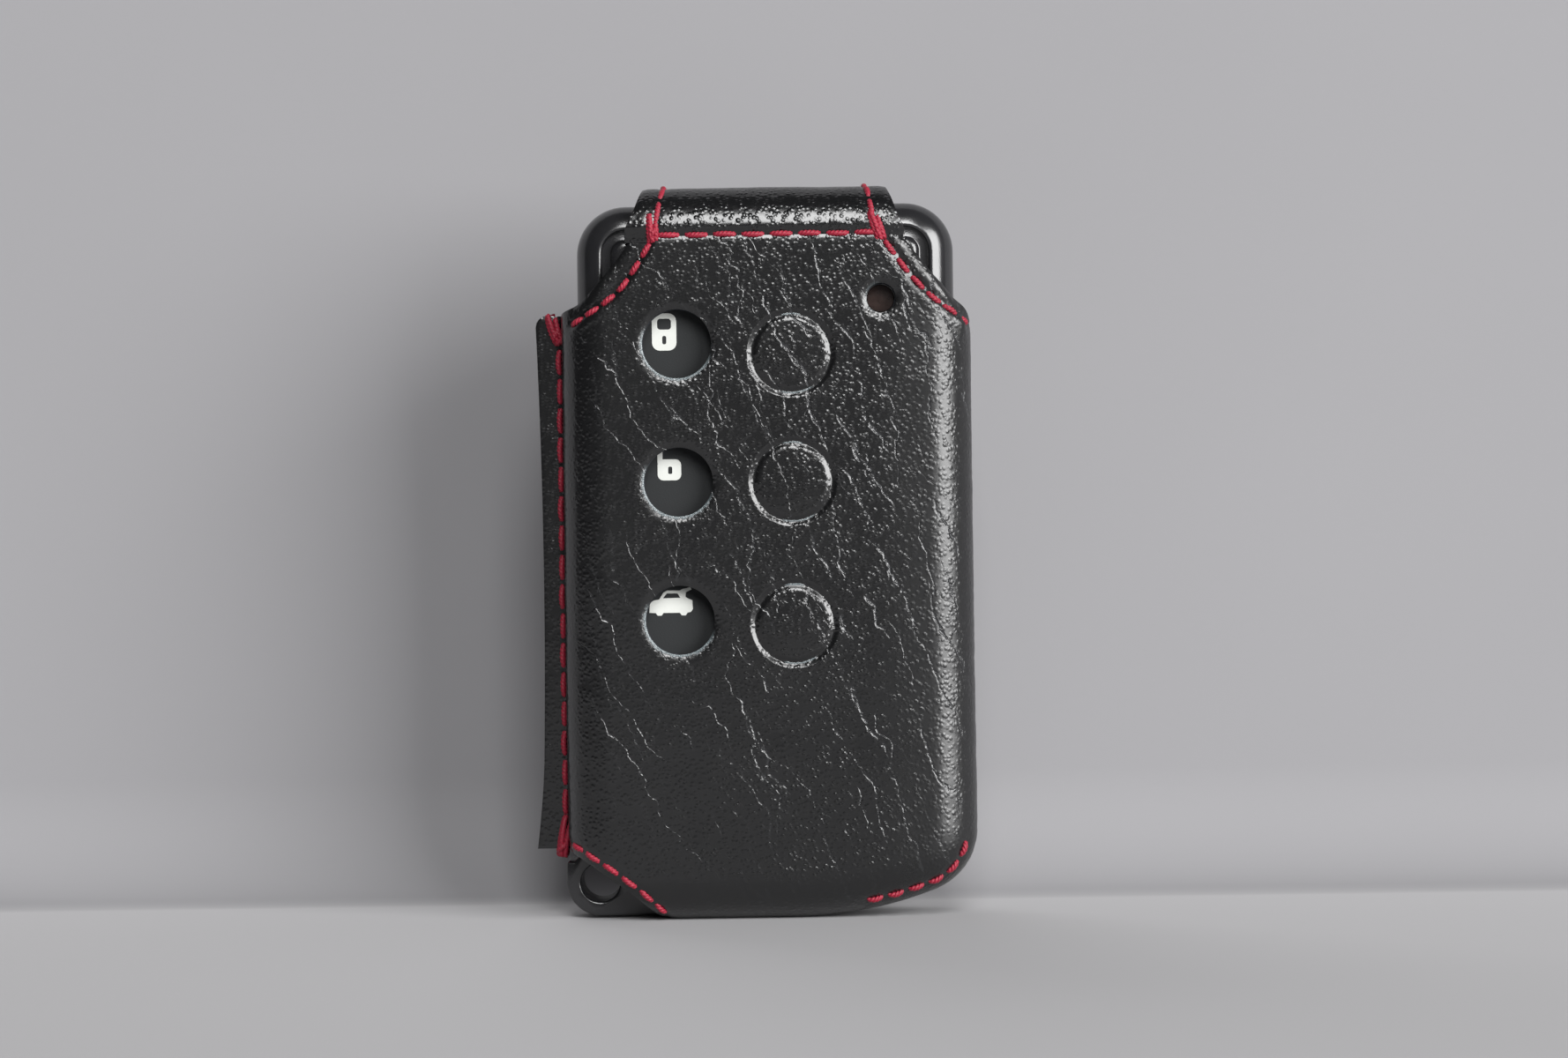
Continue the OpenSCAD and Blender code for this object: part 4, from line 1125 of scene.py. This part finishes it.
STRAP_OUT_FRONT = np.array([
    (-14.3, 60), (-14.3, 69.6), (-13.9, 70.9), (-13.3, 72.1), (-12.8, 73.6), (-12.25, 75.0),
    (-STRAP_HALF, OUTSIDE), (STRAP_HALF, OUTSIDE), (12.25, 75.0), (12.9, 73.4), (13.5, 71.5),
    (14.1, 70.1), (STRAP_ROOT_HALF, 69.6), (STRAP_ROOT_HALF, 60)])
STRAP_OUT_BACK = np.concatenate([
    [(-STRAP_HALF, OUTSIDE), (STRAP_HALF, OUTSIDE), (STRAP_HALF, STRAP_TIP_TOP)],
    arc((0, SNAP_Z), STRAP_TIP_R, 0, -180, 20), [(-STRAP_HALF, STRAP_TIP_TOP)]])
STRAP_ROOT = 1.0
STRAP_RISE = STRAP_ROOT + STRAP_FRONT[2] * QUARTER
STRAP_TOP = STRAP_RISE + STRAP_BACK[0] - STRAP_FRONT[0]
STRAP_BEND = STRAP_TOP + STRAP_BACK[2] * QUARTER
STRAP_RUN = STRAP_BEND + STRAP_BACK[1] - SNAP_Z + STRAP_TIP_R


def strap_path(run):
    """Places across the depth and height along the strap from its root, and the way out there."""
    (y0, z0, r0), (y1, z1, r1) = STRAP_FRONT, STRAP_BACK
    turn = math.pi - np.clip((run - STRAP_ROOT) / r0, 0, QUARTER)
    back = QUARTER - np.clip((run - STRAP_TOP) / r1, 0, QUARTER)
    parts = [run < STRAP_RISE, run < STRAP_TOP, run < STRAP_BEND]
    front_z = z0 + r0 * np.sin(turn) + np.minimum(run - STRAP_ROOT, 0)
    y = np.select(parts[:2], [y0 + r0 * np.cos(turn), y0 + run - STRAP_RISE],
                  y1 + r1 * np.cos(back))
    z = np.select(parts, [front_z, z0 + r0, z1 + r1 * np.sin(back)], z1 - (run - STRAP_BEND))
    out_y = np.select(parts[:2], [np.cos(turn), 0], np.cos(back))
    out_z = np.select(parts[:2], [np.sin(turn), 1], np.sin(back))
    return y, z, out_y, out_z


def strap_half(y, z):
    """Half width of the strap at a height on its front or back."""
    front = np.interp(z, [69.9, 71.3, 73.5, 75.0], [13.3, 12.9, 12.6, STRAP_HALF])
    back = np.interp(z, [SNAP_Z, STRAP_TIP_TOP], [STRAP_TIP_R, STRAP_HALF])
    return np.where(y < 0, front, back)


def strap_cut(inset):
    """Cut of the flat strap."""

    def cut(u, v):
        y, z = strap_path(v)[:2]
        front, back = (outline_distance(u, z, line) for line in (STRAP_OUT_FRONT, STRAP_OUT_BACK))
        tuck = np.maximum(np.abs(u) - STRAP_ROOT_HALF, -v + 0.001)
        past = np.where(y < 0, front, back)
        return np.maximum(past, np.where(v < STRAP_ROOT, tuck, -1)) + inset

    return cut


def strap_relief(u, run):
    """Height of the strap's surface over its plain path."""
    y, z = strap_path(run)[:2]
    place = np.stack([u, y, z], 1)
    round_tip = (y > 0) & (z < SNAP_Z)
    edge = np.where(round_tip, STRAP_TIP_R - np.hypot(u, z - SNAP_Z), strap_half(y, z) - np.abs(u))
    height = 0.06 * ripple(place, 0.15, 21) + 0.03 * ripple(place, 0.5, 22)
    height -= 0.14 * ditch(edge - STRAP_MARGIN, 0.3) * smooth(run, 0.8, 1.6)
    return height - 0.12 * below(edge, 0, 0.4) - 0.4 * below(run, 0.5, 1.6)


def bend_at_root(piece):
    """Bakes a piece of the strap's transform into its mesh."""
    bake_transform(piece)


class FOB_COVER_OT_strap(bpy.types.Operator):
    """Lays the strap and its lining over the top, bending at its root."""

    bl_idname = "fob_cover.strap"
    bl_label = "Top Strap"

    def execute(self, context):
        leather = self.layer("strap_leather", size("cell"), 0, 0)
        cover_with(leather, "strap", "edge", "edge", "flesh")
        leather_edges(leather, size("leather"))
        suede = self.layer("strap_suede", 0.9, 0.08, size("leather"))
        suede_sheet(suede)
        bend_at_root(leather)
        bend_at_root(suede)
        stand_in(leather, "leather", "top_strap")
        stand_in(suede, "lining", "strap_lining")
        return {"FINISHED"}

    def layer(self, name, cell, inset, depth):
        """A layer of the strap, a depth under its outer surface."""
        strap = flat_sheet(name, np.arange(-14.6, 14.7, cell),
                           np.arange(-1.0, STRAP_RUN + 1.0, cell), strap_cut(inset), cell)
        u, run, _ = spots(strap).T
        y, z, out_y, out_z = strap_path(run)
        height = strap_relief(u, run) - depth
        move_spots(strap, np.stack([u, y + out_y * height, z + out_z * height], 1) * MM)
        return strap


# Thread


def base_stitch():
    """One stitch along Z from 0 to 1, round to radius 1, closed at its ends."""
    around, steps = 18, 34
    ends = [0.55, *[1] * (steps - 1), 0.55]
    rings = [[(math.cos(a) * r, math.sin(a) * r, t)
              for a in np.linspace(0, 2 * math.pi, around, endpoint=False)]
             for t, r in zip(np.linspace(0, 1, steps + 1), ends)]
    return loft("stitch", np.array(rings) / MM)


def sew(name, stitches, node, body="cover"):
    """Copies the stitch between pairs of places, twisted and bowed, as one thread; only on the
    cover is it attached to a body.
    """
    base = base_stitch()
    x, y, t = spots(base).T
    made, turn, reach = [], np.arctan2(y, x), np.hypot(x, y)
    for number, (start, end, out) in enumerate(stitches):
        copy = base.copy()
        copy.data = base.data.copy()
        bpy.context.collection.objects.link(copy)
        length = np.linalg.norm(end - start)
        way = (end - start) / length
        out = out - way * np.dot(out, way)
        out = out / np.linalg.norm(out)
        bow = 0.52 * np.clip(np.sin(math.pi * t), 0, 1) ** 0.42 - 0.44
        weave = 0.05 * math.sin(number * 2.4) * np.sin(math.pi * t)
        lay = turn - 2 * math.pi * t * length / size("lay") + number * 1.9
        lobes = 0.70 + 0.38 * np.abs(np.cos(1.5 * lay)) ** 0.8
        swell = size("thread") * (0.84 + 0.16 * np.sin(math.pi * t)) * reach * lobes
        places = start + np.outer(t * length, way) + np.outer(bow + np.sin(turn) * swell, out)
        places += np.outer(weave + np.cos(turn) * swell, np.cross(way, out))
        move_spots(copy, places * MM)
        made.append(copy)
    bpy.data.objects.remove(base)
    thread = join(name, *made)
    tidy(thread, 1e-8)
    cover_with(thread, "thread")
    soften(thread, 60)
    if body == "cover":
        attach(thread, "cover")
    else:
        bend_at_root(thread)
    stand_in(thread, "thread", node)


def along_route(route, out, pitch, space=0.4):
    """Stitches along a route of places in space."""
    run = line_run(route)
    count = max(1, round(run[-1] / pitch))
    step = run[-1] / count
    return [(along(i * step + space / 2, run, route), along((i + 1) * step - space / 2, run, route),
             along((i + 0.5) * step, run, out)) for i in range(count)]


def on_front(line, lift):
    """A line of the front view laid on the cover's front."""
    dense = along(np.linspace(0, len(line) - 1, 60), np.arange(len(line)), line)
    return front_spot(*dense, lift)


def bar_tack(foot, head, out):
    """Strands sewn to and fro over the end of a seam: three side by side and one across them."""
    foot, head, out = np.array(foot), np.array(head), np.array(out, float)
    way = (head - foot) / np.linalg.norm(head - foot)
    across = np.cross(way, out) * size("thread") * 1.2
    strands = [(foot + across * k, head + across * (k + 0.3) - way * 0.3 * (k + 1), out)
               for k in (-1, 1)]
    lifted = out * 0.2
    return strands + [
        (foot + out * 0.16, head - across * 0.3 + out * 0.16, out),
        (foot - across * 1.3 + way * 0.5 + lifted, foot + across * 1.5 + way * 1.6 + lifted, out)]


class FOB_COVER_OT_stitches(bpy.types.Operator):
    """Sews the seams with twisted thread, stitch by stitch."""

    bl_idname = "fob_cover.stitches"
    bl_label = "Stitches"

    def execute(self, context):
        for node, seam, lift in (
                ("shoulder_thread_left", LEFT_SEAM, -0.12),
                ("shoulder_thread_right", RIGHT_SEAM, -0.12),
                ("corner_thread_left", RING_SEAM, -0.02),
                ("corner_thread_right", HEEL_SEAM, 0.0)):
            row = along_route(*on_front(seam, lift), size("curve_pitch"))
            sew(node + "_stitches", row, node)
        sew("strap_root_stitches", self.strap_root(), "strap_root_thread")
        sew("side_seam_stitches", self.side_seam(), "side_seam_thread")
        sew("tongue_stitches", self.tongue(), "tongue_thread")
        sew("strap_edge_stitches", self.strap_edge(), "strap_edge_thread", "strap")
        return {"FINISHED"}

    def strap_root(self):
        """Row under the strap's root, with a bar tack at each end."""
        front, y, z = np.array([0, -1.0, 0]), -8.38, 69.6
        row = np.array([[-11.2, y, z], [11.7, y, z]])
        stitches = along_route(row, np.array([front, front]), size("pitch"), 0.45)
        for foot, head in ((-11.3, -11.55), (11.85, 10.75)):
            stitches += bar_tack((foot, y - 0.04, z - 0.8), (head, y + 0.18, z + 2.3), front)
        return stitches

    def side_seam(self):
        """Rows on both faces of the flange, with a bar tack at each end."""
        stitches, x, low, high = [], -HALF_W - 0.4, FLANGE_LOW, FLANGE_HIGH
        for face in (-1, 1):
            out = np.array([-0.35, 1.0 * face, 0])
            y = face * (FLANGE_FACE + 0.12)
            row = np.array([[x, y, low + 3.3], [x, y, high - 3.3]])
            stitches += along_route(row, np.array([out, out]), size("pitch"), 0.3)
            stitches += bar_tack((x - 0.5, y, low - 0.9), (x + 0.15, y, low + 3.5), out)
            stitches += bar_tack((x + 0.1, y, high - 3.1), (x - 1.1, y, high + 0.2), out)
            stitches.append((np.array([x - 0.4, y + 0.2 * face, high - 3.0]),
                             np.array([x + 1.3, y + 0.9 * face, high - 2.0]), out))
        return stitches

    def tongue(self):
        """Row round the tongue's three edges, on the back."""
        side, low, high, face = 8.2, 7.0, 12.0, HALF_T + 1.1
        row = [(-side, face, low), (-side, face, high), (side, face, high), (side, face, low)]
        return along_route(np.array(row), np.tile([0, 1.0, 0], (4, 1)), size("pitch"))

    def strap_edge(self):
        """Row along the strap's sides and round its tip."""
        y, z, out_y, out_z = strap_path(np.linspace(1.9, STRAP_RUN - STRAP_TIP_R - 2, 80))
        keep = (z > SNAP_Z) | (y < 0)
        half, sunk = strap_half(y, z) - STRAP_MARGIN, 0.02
        rise = np.stack([half, y - sunk * out_y, z - sunk * out_z], 1)[keep]
        out = np.stack([np.zeros(len(y)), out_y, out_z], 1)[keep]
        tip = arc((0, SNAP_Z), STRAP_TIP_R - STRAP_MARGIN, -4, -176, 24)
        tip = np.stack([tip[:, 0], np.full(25, STRAP_FACE_Y), tip[:, 1]], 1)
        back = np.tile([0, 1.0, 0], (25, 1))
        mirror = np.array([-1, 1, 1])
        route = np.concatenate([rise, tip, (rise * mirror)[::-1]])
        out = np.concatenate([out, back, (out * mirror)[::-1]])
        return along_route(route, out, size("pitch"), 0.42)


# Snap


class FOB_COVER_OT_snap(bpy.types.Operator):
    """Turns the snap's cap, socket and stud."""

    bl_idname = "fob_cover.snap"
    bl_label = "Snap"

    def execute(self, context):
        face, top, foot = STRAP_FACE_Y, CAP_HIGH[1], CAP_LOW[1] + 0.01
        cap = [(0.05, top), (1.6, top), (2.6, top - 0.02), (3.6, top - 0.1), (4.3, top - 0.25),
               (4.75, top - 0.45), (CAP_HIGH[0], face + 0.25), (CAP_HIGH[0], face + 0.05),
               (4.7, face - 0.02), (3.0, face - 0.02), (2.95, face - 0.2), (2.95, foot),
               (0.05, foot)]
        low, high = (corner[1] for corner in corners_of("snap_socket"))
        well, lip, side = 2.35, 2.21, 2.96
        socket = [(well, low + 0.12), (well + 0.12, low), (2.8, low), (side, low + 0.15),
                  (side, high), (2.5, high), (well, high - 0.1), (lip, low + 0.6), (lip, low + 0.4)]
        low, high = (corner[1] for corner in corners_of("snap_stud"))
        stud = [(0.05, high), (0.9, high - 0.03), (1.35, high - 0.2), (1.6, high - 0.55),
                (1.5, high - 0.8), (1.28, high - 1.0), (1.3, HALF_T + 0.12), (1.6, HALF_T + 0.03),
                (2.6, HALF_T + 0.02), (2.78, HALF_T - 0.1), (2.78, low), (0.05, low)]
        for name, profile, node, body in (
                ("snap_button_cap", cap, "snap_cap", "strap"),
                ("snap_socket_ring", socket, "snap_socket", "strap"),
                ("snap_stud_ball", stud, "snap_stud", "cover")):
            piece = self.turned(name, profile, node == "snap_socket")
            cover_with(piece, "nickel")
            soften(piece, 35)
            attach(piece, body)
            stand_in(piece, "snap_metal", node)
        return {"FINISHED"}

    def turned(self, name, profile, ring):
        """A piece turned about the snap's axis from its profile of radii and depths."""
        axis_z = SNAP_Z * MM
        piece, column, _ = new_grid(name, len(profile) if ring else len(profile) - 1, 1)
        radius, depth = np.array(profile)[column % len(profile)].T
        move_spots(piece, np.stack([radius, depth, np.full(len(column), SNAP_Z)], 1) * MM)
        merge(piece, 1e-7)
        whole(piece, bpy.ops.mesh.spin, steps=56, angle=2 * math.pi, center=(0, 0, axis_z),
              axis=(0, 1, 0))
        if not ring:
            places = spots(piece)
            near = np.hypot(places[:, 0], places[:, 2] - axis_z) < 0.06 * MM
            places[near, 0], places[near, 2] = 0, axis_z
            move_spots(piece, places)
        tidy(piece)
        return piece


# Smart key


def bend(start, radius, angles):
    """Profile of a rounded edge: inset and depth from a start, at angles in degrees."""
    turn = np.radians(angles)
    return list(zip(start[0] + radius * (1 - np.cos(turn)), start[1] + radius * (1 - np.sin(turn))))


class FOB_COVER_OT_casing(bpy.types.Operator):
    """Moulds the key's casing: rim, groove and pillowed panel in front, plain shell behind."""

    bl_idname = "fob_cover.casing"
    bl_label = "Key Casing"

    def execute(self, context):
        face, seam = CASING_LOW[1], -1.5
        front = loft("key_front_shell", [self.ring(*spot) for spot in self.profile(face, seam)])
        holes = [plate("hole", rounded(-14.95, z - 5.65, -5.05, z + 5.65, 1.75), face - 2, face + 4)
                 for z in BUTTON_ROWS]
        holes.append(plate("hole", arc(LED, 1.4, 0, 345, 23), face - 2, face + 4))
        low, left, right, high = -3, -24, -11.6, 8.9
        notch = plate("hole", [(left, low), (right, low), (right, high), (left, high)], face - 3, 3)
        carve(front, notch, *holes)
        walls = plate("walls", [(-18.6, high), (right, high), (right, 2.4), (right + 1.2, 2.4),
                                (right + 1.2, high + 1.2), (-18.6, high + 1.2)], face + 1.0, seam)
        front = join("key_front_shell", front, walls)
        round_edges(front, 0.12, 62)
        cover_with(front, "casing")
        soften(front, 32)
        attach(front, "cover")
        stand_in(front, "casing", "fob_front_shell")
        smoothed("key_rear_shell", "fob_rear_shell", "cover", "casing")
        return {"FINISHED"}

    def profile(self, face, seam):
        """Insets and depths from the inner edge round the outside to the middle of the panel."""
        edge, rim, groove, wall = fob("edge"), fob("rim"), fob("groove"), fob("wall")
        deep, panel, inner, inner_edge = fob("groove_depth"), fob("panel_round"), face + wall, 1.6
        floor, rise = face + deep, rim + groove
        turned_in = [(wall + inner_edge * (1 - math.sin(a)), inner + inner_edge * (1 - math.cos(a)))
                     for a in np.radians((25, 50, 72))]
        return [
            (4.4, inner), (wall + inner_edge, inner), *turned_in, (wall, inner + inner_edge),
            (wall, seam), (0, seam), (0, seam - 1.1), (0, face + edge),
            *bend((0, face), edge, range(8, 77, 8)),
            (rim - 0.3, face + 0.06), (rim - 0.14, face + 0.08), (rim - 0.04, face + 0.16),
            (rim, face + 0.3), (rim + 0.02, floor - 0.08), (rim + 0.1, floor), (rise - 0.1, floor),
            *bend((rise, face), panel, (18, 28, 40, 52, 64, 76, 90)),
            (rise + panel + 0.45, face - 0.005)]

    def ring(self, inset, depth):
        """Ring of the casing's outline, an inset inside its outer side, at a depth."""
        outline = cover_outline(CASING_IN + inset, bpy.context.scene.fob_sizes.steps)
        return np.stack([outline[:, 0], np.full(len(outline), depth), outline[:, 1]], 1)


def smoothed(name, node, body, slot, bevel=0):
    """A merged, rounded and smooth copy of a CAD node that stands for it."""
    piece = named(bpy.data.objects.new(name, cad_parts[node].data.copy()), name)
    bpy.context.collection.objects.link(piece)
    tidy(piece, 2e-6)
    choose(piece, "polygons", np.ones(len(piece.data.polygons), bool))
    edit(piece, lambda: bpy.ops.mesh.dissolve_limited(angle_limit=math.radians(0.6)))
    if bevel:
        round_edges(piece, bevel, 40, 3, harden_normals=False)
    cover_with(piece, slot)
    soften(piece, 32)
    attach(piece, body)
    stand_in(piece, slot, node)


class FOB_COVER_OT_key(bpy.types.Operator):
    """Rounds the emergency key's head with its ring loop."""

    bl_idname = "fob_cover.key"
    bl_label = "Emergency Key"

    def execute(self, context):
        smoothed("key_ring_head", "key_head", "emergency_key", "casing", 0.35)
        return {"FINISHED"}


class FOB_COVER_OT_symbols(bpy.types.Operator):
    """Prints the lock, unlock and boot symbols on the buttons."""

    bl_idname = "fob_cover.symbols"
    bl_label = "Button Symbols"

    def execute(self, context):
        lock = self.printed("lock_symbol", rounded(-11.6, 58.0, -9.1, 61.8, 0.8))
        self.pierce(lock, rounded(-11.05, 60.15, -9.65, 61.25, 0.3),
                    rounded(-10.55, 58.65, -10.15, 59.5, 0.18))
        unlock = self.printed("unlock_symbol", rounded(-11.2, 44.8, -8.8, 46.95, 0.6))
        shackle = self.printed("stub", rounded(-11.2, 46.4, -10.68, 48.1, 0.2))
        carve(unlock, shackle, operation="UNION")
        self.pierce(unlock, rounded(-10.13, 45.45, -9.71, 46.2, 0.16))
        boot = self.printed("boot_symbol", [
            (-12.25, 31.35), (-12.2, 32.35), (-11.75, 32.62), (-11.25, 32.7), (-10.8, 33.4),
            (-10.4, 33.62), (-9.1, 33.6), (-8.85, 33.75), (-8.05, 33.92), (-7.9, 33.7),
            (-8.5, 33.4), (-8.55, 32.95), (-8.25, 32.75), (-7.85, 32.6), (-7.8, 31.7),
            (-8.0, 31.4), (-8.35, 31.32), (-8.55, 31.05), (-8.95, 31.05), (-9.15, 31.32),
            (-10.8, 31.32), (-11.0, 31.05), (-11.4, 31.05), (-11.6, 31.32)])
        self.pierce(boot, [(-10.85, 32.82), (-10.45, 33.3), (-9.35, 33.3), (-9.1, 32.86)])
        for symbol, button in ((lock, "lock_button"), (unlock, "unlock_button"),
                               (boot, "trunk_button")):
            round_edges(symbol, 0.02, 60, 1)
            cover_with(symbol, "symbol")
            soften(symbol, 30)
            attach(symbol, button)
        return {"FINISHED"}

    def printed(self, name, outline, past=0.0):
        """A thin raised shape on the button faces."""
        face = corners_of("button_lock")[0][1]
        return plate(name, outline, face - 0.05 - past, face + 0.05 + past)

    def pierce(self, symbol, *outlines):
        """Cuts outlines through a symbol."""
        carve(symbol, *(self.printed("hole", outline, 1) for outline in outlines))


class FOB_COVER_OT_inner_parts(bpy.types.Operator):
    """Finishes the pieces that the CAD already shapes: buttons, lens, board, cell and blade."""

    bl_idname = "fob_cover.inner_parts"
    bl_label = "Inner Parts"

    def execute(self, context):
        for name, nodes in {
                "button": ["button_lock", "button_unlock", "button_trunk"],
                "rubber": ["casing_seal", "key_membrane", "key_latch"],
                "steel": ["dome_switches", "coin_cell", "key_blade"],
                "nickel": ["snap_post"],
                "board": ["circuit_board"],
                "chip": ["control_chip"],
                "lamp": ["indicator_lamp"],
                "lens": ["indicator_lens"],
                "coil": ["antenna_coil"],
                "contact": ["cell_contact_minus", "cell_contact_plus"]}.items():
            for node in nodes:
                cover_with(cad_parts[node], name)
        return {"FINISHED"}


# Stage


class FOB_COVER_OT_stage(bpy.types.Operator):
    """Sets the pale sweep, the soft lights and the camera at the photograph's angle."""

    bl_idname = "fob_cover.stage"
    bl_label = "Stage"

    def execute(self, context):
        self.sweep()
        for name, place, width, height, power in (
                ("key_light", (1.845, -1.72, 0.67), 1.69, 1.74, 101.0),
                ("top_light", (0.16, -2.08, 1.5), 0.8, 1.36, 46.0),
                ("rear_light", (-0.3, 0.84, 0.66), 0.8, 0.6, 5.0)):
            self.lamp(name, Vector(place), Vector((0.0, 0.0, 0.04)), width, height, power)
        world = context.scene.world or bpy.data.worlds.new("studio")
        context.scene.world = world
        world.use_nodes = True
        sky = world.node_tree.nodes["Background"].inputs
        sky["Color"].default_value = (0.5, 0.5, 0.54, 1)
        sky["Strength"].default_value = 0.09
        self.camera(context)
        context.scene.view_settings.view_transform = "Standard"
        return {"FINISHED"}

    def sweep(self):
        """Floor that curves up into the backdrop, and the floor behind it."""
        behind, radius, top, far, low = 12.5, 13.0, 190.0, 900.0, -0.02
        path = [(-far, 0.0), *arc((behind, radius), radius, -90, 0, 24), (behind + radius, top)]
        rear = [(y, low) for y in (behind, far / 2, far)]
        for name, line in (("backdrop", path), ("rear_floor", rear)):
            rings = [[(x, y, z) for x in np.linspace(-far, far, 3)] for y, z in line]
            sheet = loft(name, rings, closed_round=False)
            normal = sheet.data.polygons[0].normal
            if normal.z < 0 or normal.y > 0.5:
                flip(sheet)
            cover_with(sheet, "backdrop")
            soften(sheet, 60)
            sheet.visible_shadow = False

    def lamp(self, name, place, aim, width, height, power):
        """A soft rectangular light turned to the object."""
        light = bpy.data.lights.new(name, "AREA")
        light.shape = "RECTANGLE"
        light.size, light.size_y, light.energy = width, height, power
        lamp = bpy.data.objects.new(name, light)
        bpy.context.collection.objects.link(lamp)
        lamp.location = place
        lamp.rotation_euler = (aim - place).to_track_quat("-Z", "Y").to_euler()

    def camera(self, context):
        """Camera nearly square to the front, turned by the photograph's slight lean."""
        data = bpy.data.cameras.new("photo_camera")
        data.lens, data.sensor_width = 85, 36
        data.clip_start, data.clip_end = 0.01, 10
        camera = bpy.data.objects.new("photo_camera", data)
        context.collection.objects.link(camera)
        aim, place = Vector((0.00157, -0.00845, 0.0397)), Vector((0.00157, -0.383, 0.0397))
        look = (aim - place).to_track_quat("-Z", "Y").to_matrix()
        lean = Matrix.Rotation(math.radians(-0.8), 3, "Z")
        camera.matrix_world = Matrix.Translation(place) @ (look @ lean).to_4x4()
        context.scene.camera = camera


# Panel and registration

OPERATORS = (
    FOB_COVER_OT_sleeve, FOB_COVER_OT_strap, FOB_COVER_OT_stitches, FOB_COVER_OT_snap,
    FOB_COVER_OT_casing, FOB_COVER_OT_key, FOB_COVER_OT_symbols, FOB_COVER_OT_inner_parts,
    FOB_COVER_OT_stage)


class FOB_COVER_PT_panel(bpy.types.Panel):
    """Lists the pieces of the cover and their sizes."""

    bl_idname = "FOB_COVER_PT_panel"
    bl_label = "Key Fob Cover"
    bl_space_type = "VIEW_3D"
    bl_region_type = "UI"
    bl_category = "Fob Cover"

    def draw(self, context):
        for group in GROUPS:
            box, values = self.layout.box(), getattr(context.scene, group)
            for name in values.__annotations__:
                box.prop(values, name)
        for operator in OPERATORS:
            self.layout.operator(operator.bl_idname)


GROUPS = {"cover_sizes": CoverSizes, "fob_sizes": FobSizes, "cover_colours": CoverColours}
CLASSES = (*GROUPS.values(), *OPERATORS, FOB_COVER_PT_panel)


def register():
    for cls in CLASSES:
        bpy.utils.register_class(cls)
    for name, group in GROUPS.items():
        setattr(bpy.types.Scene, name, PointerProperty(type=group))


def unregister():
    for name in GROUPS:
        delattr(bpy.types.Scene, name)
    for cls in reversed(CLASSES):
        bpy.utils.unregister_class(cls)


def main():
    register()
    for operator in OPERATORS:
        area, name = operator.bl_idname.split(".")
        getattr(getattr(bpy.ops, area), name)()


if __name__ == "__main__":
    main()
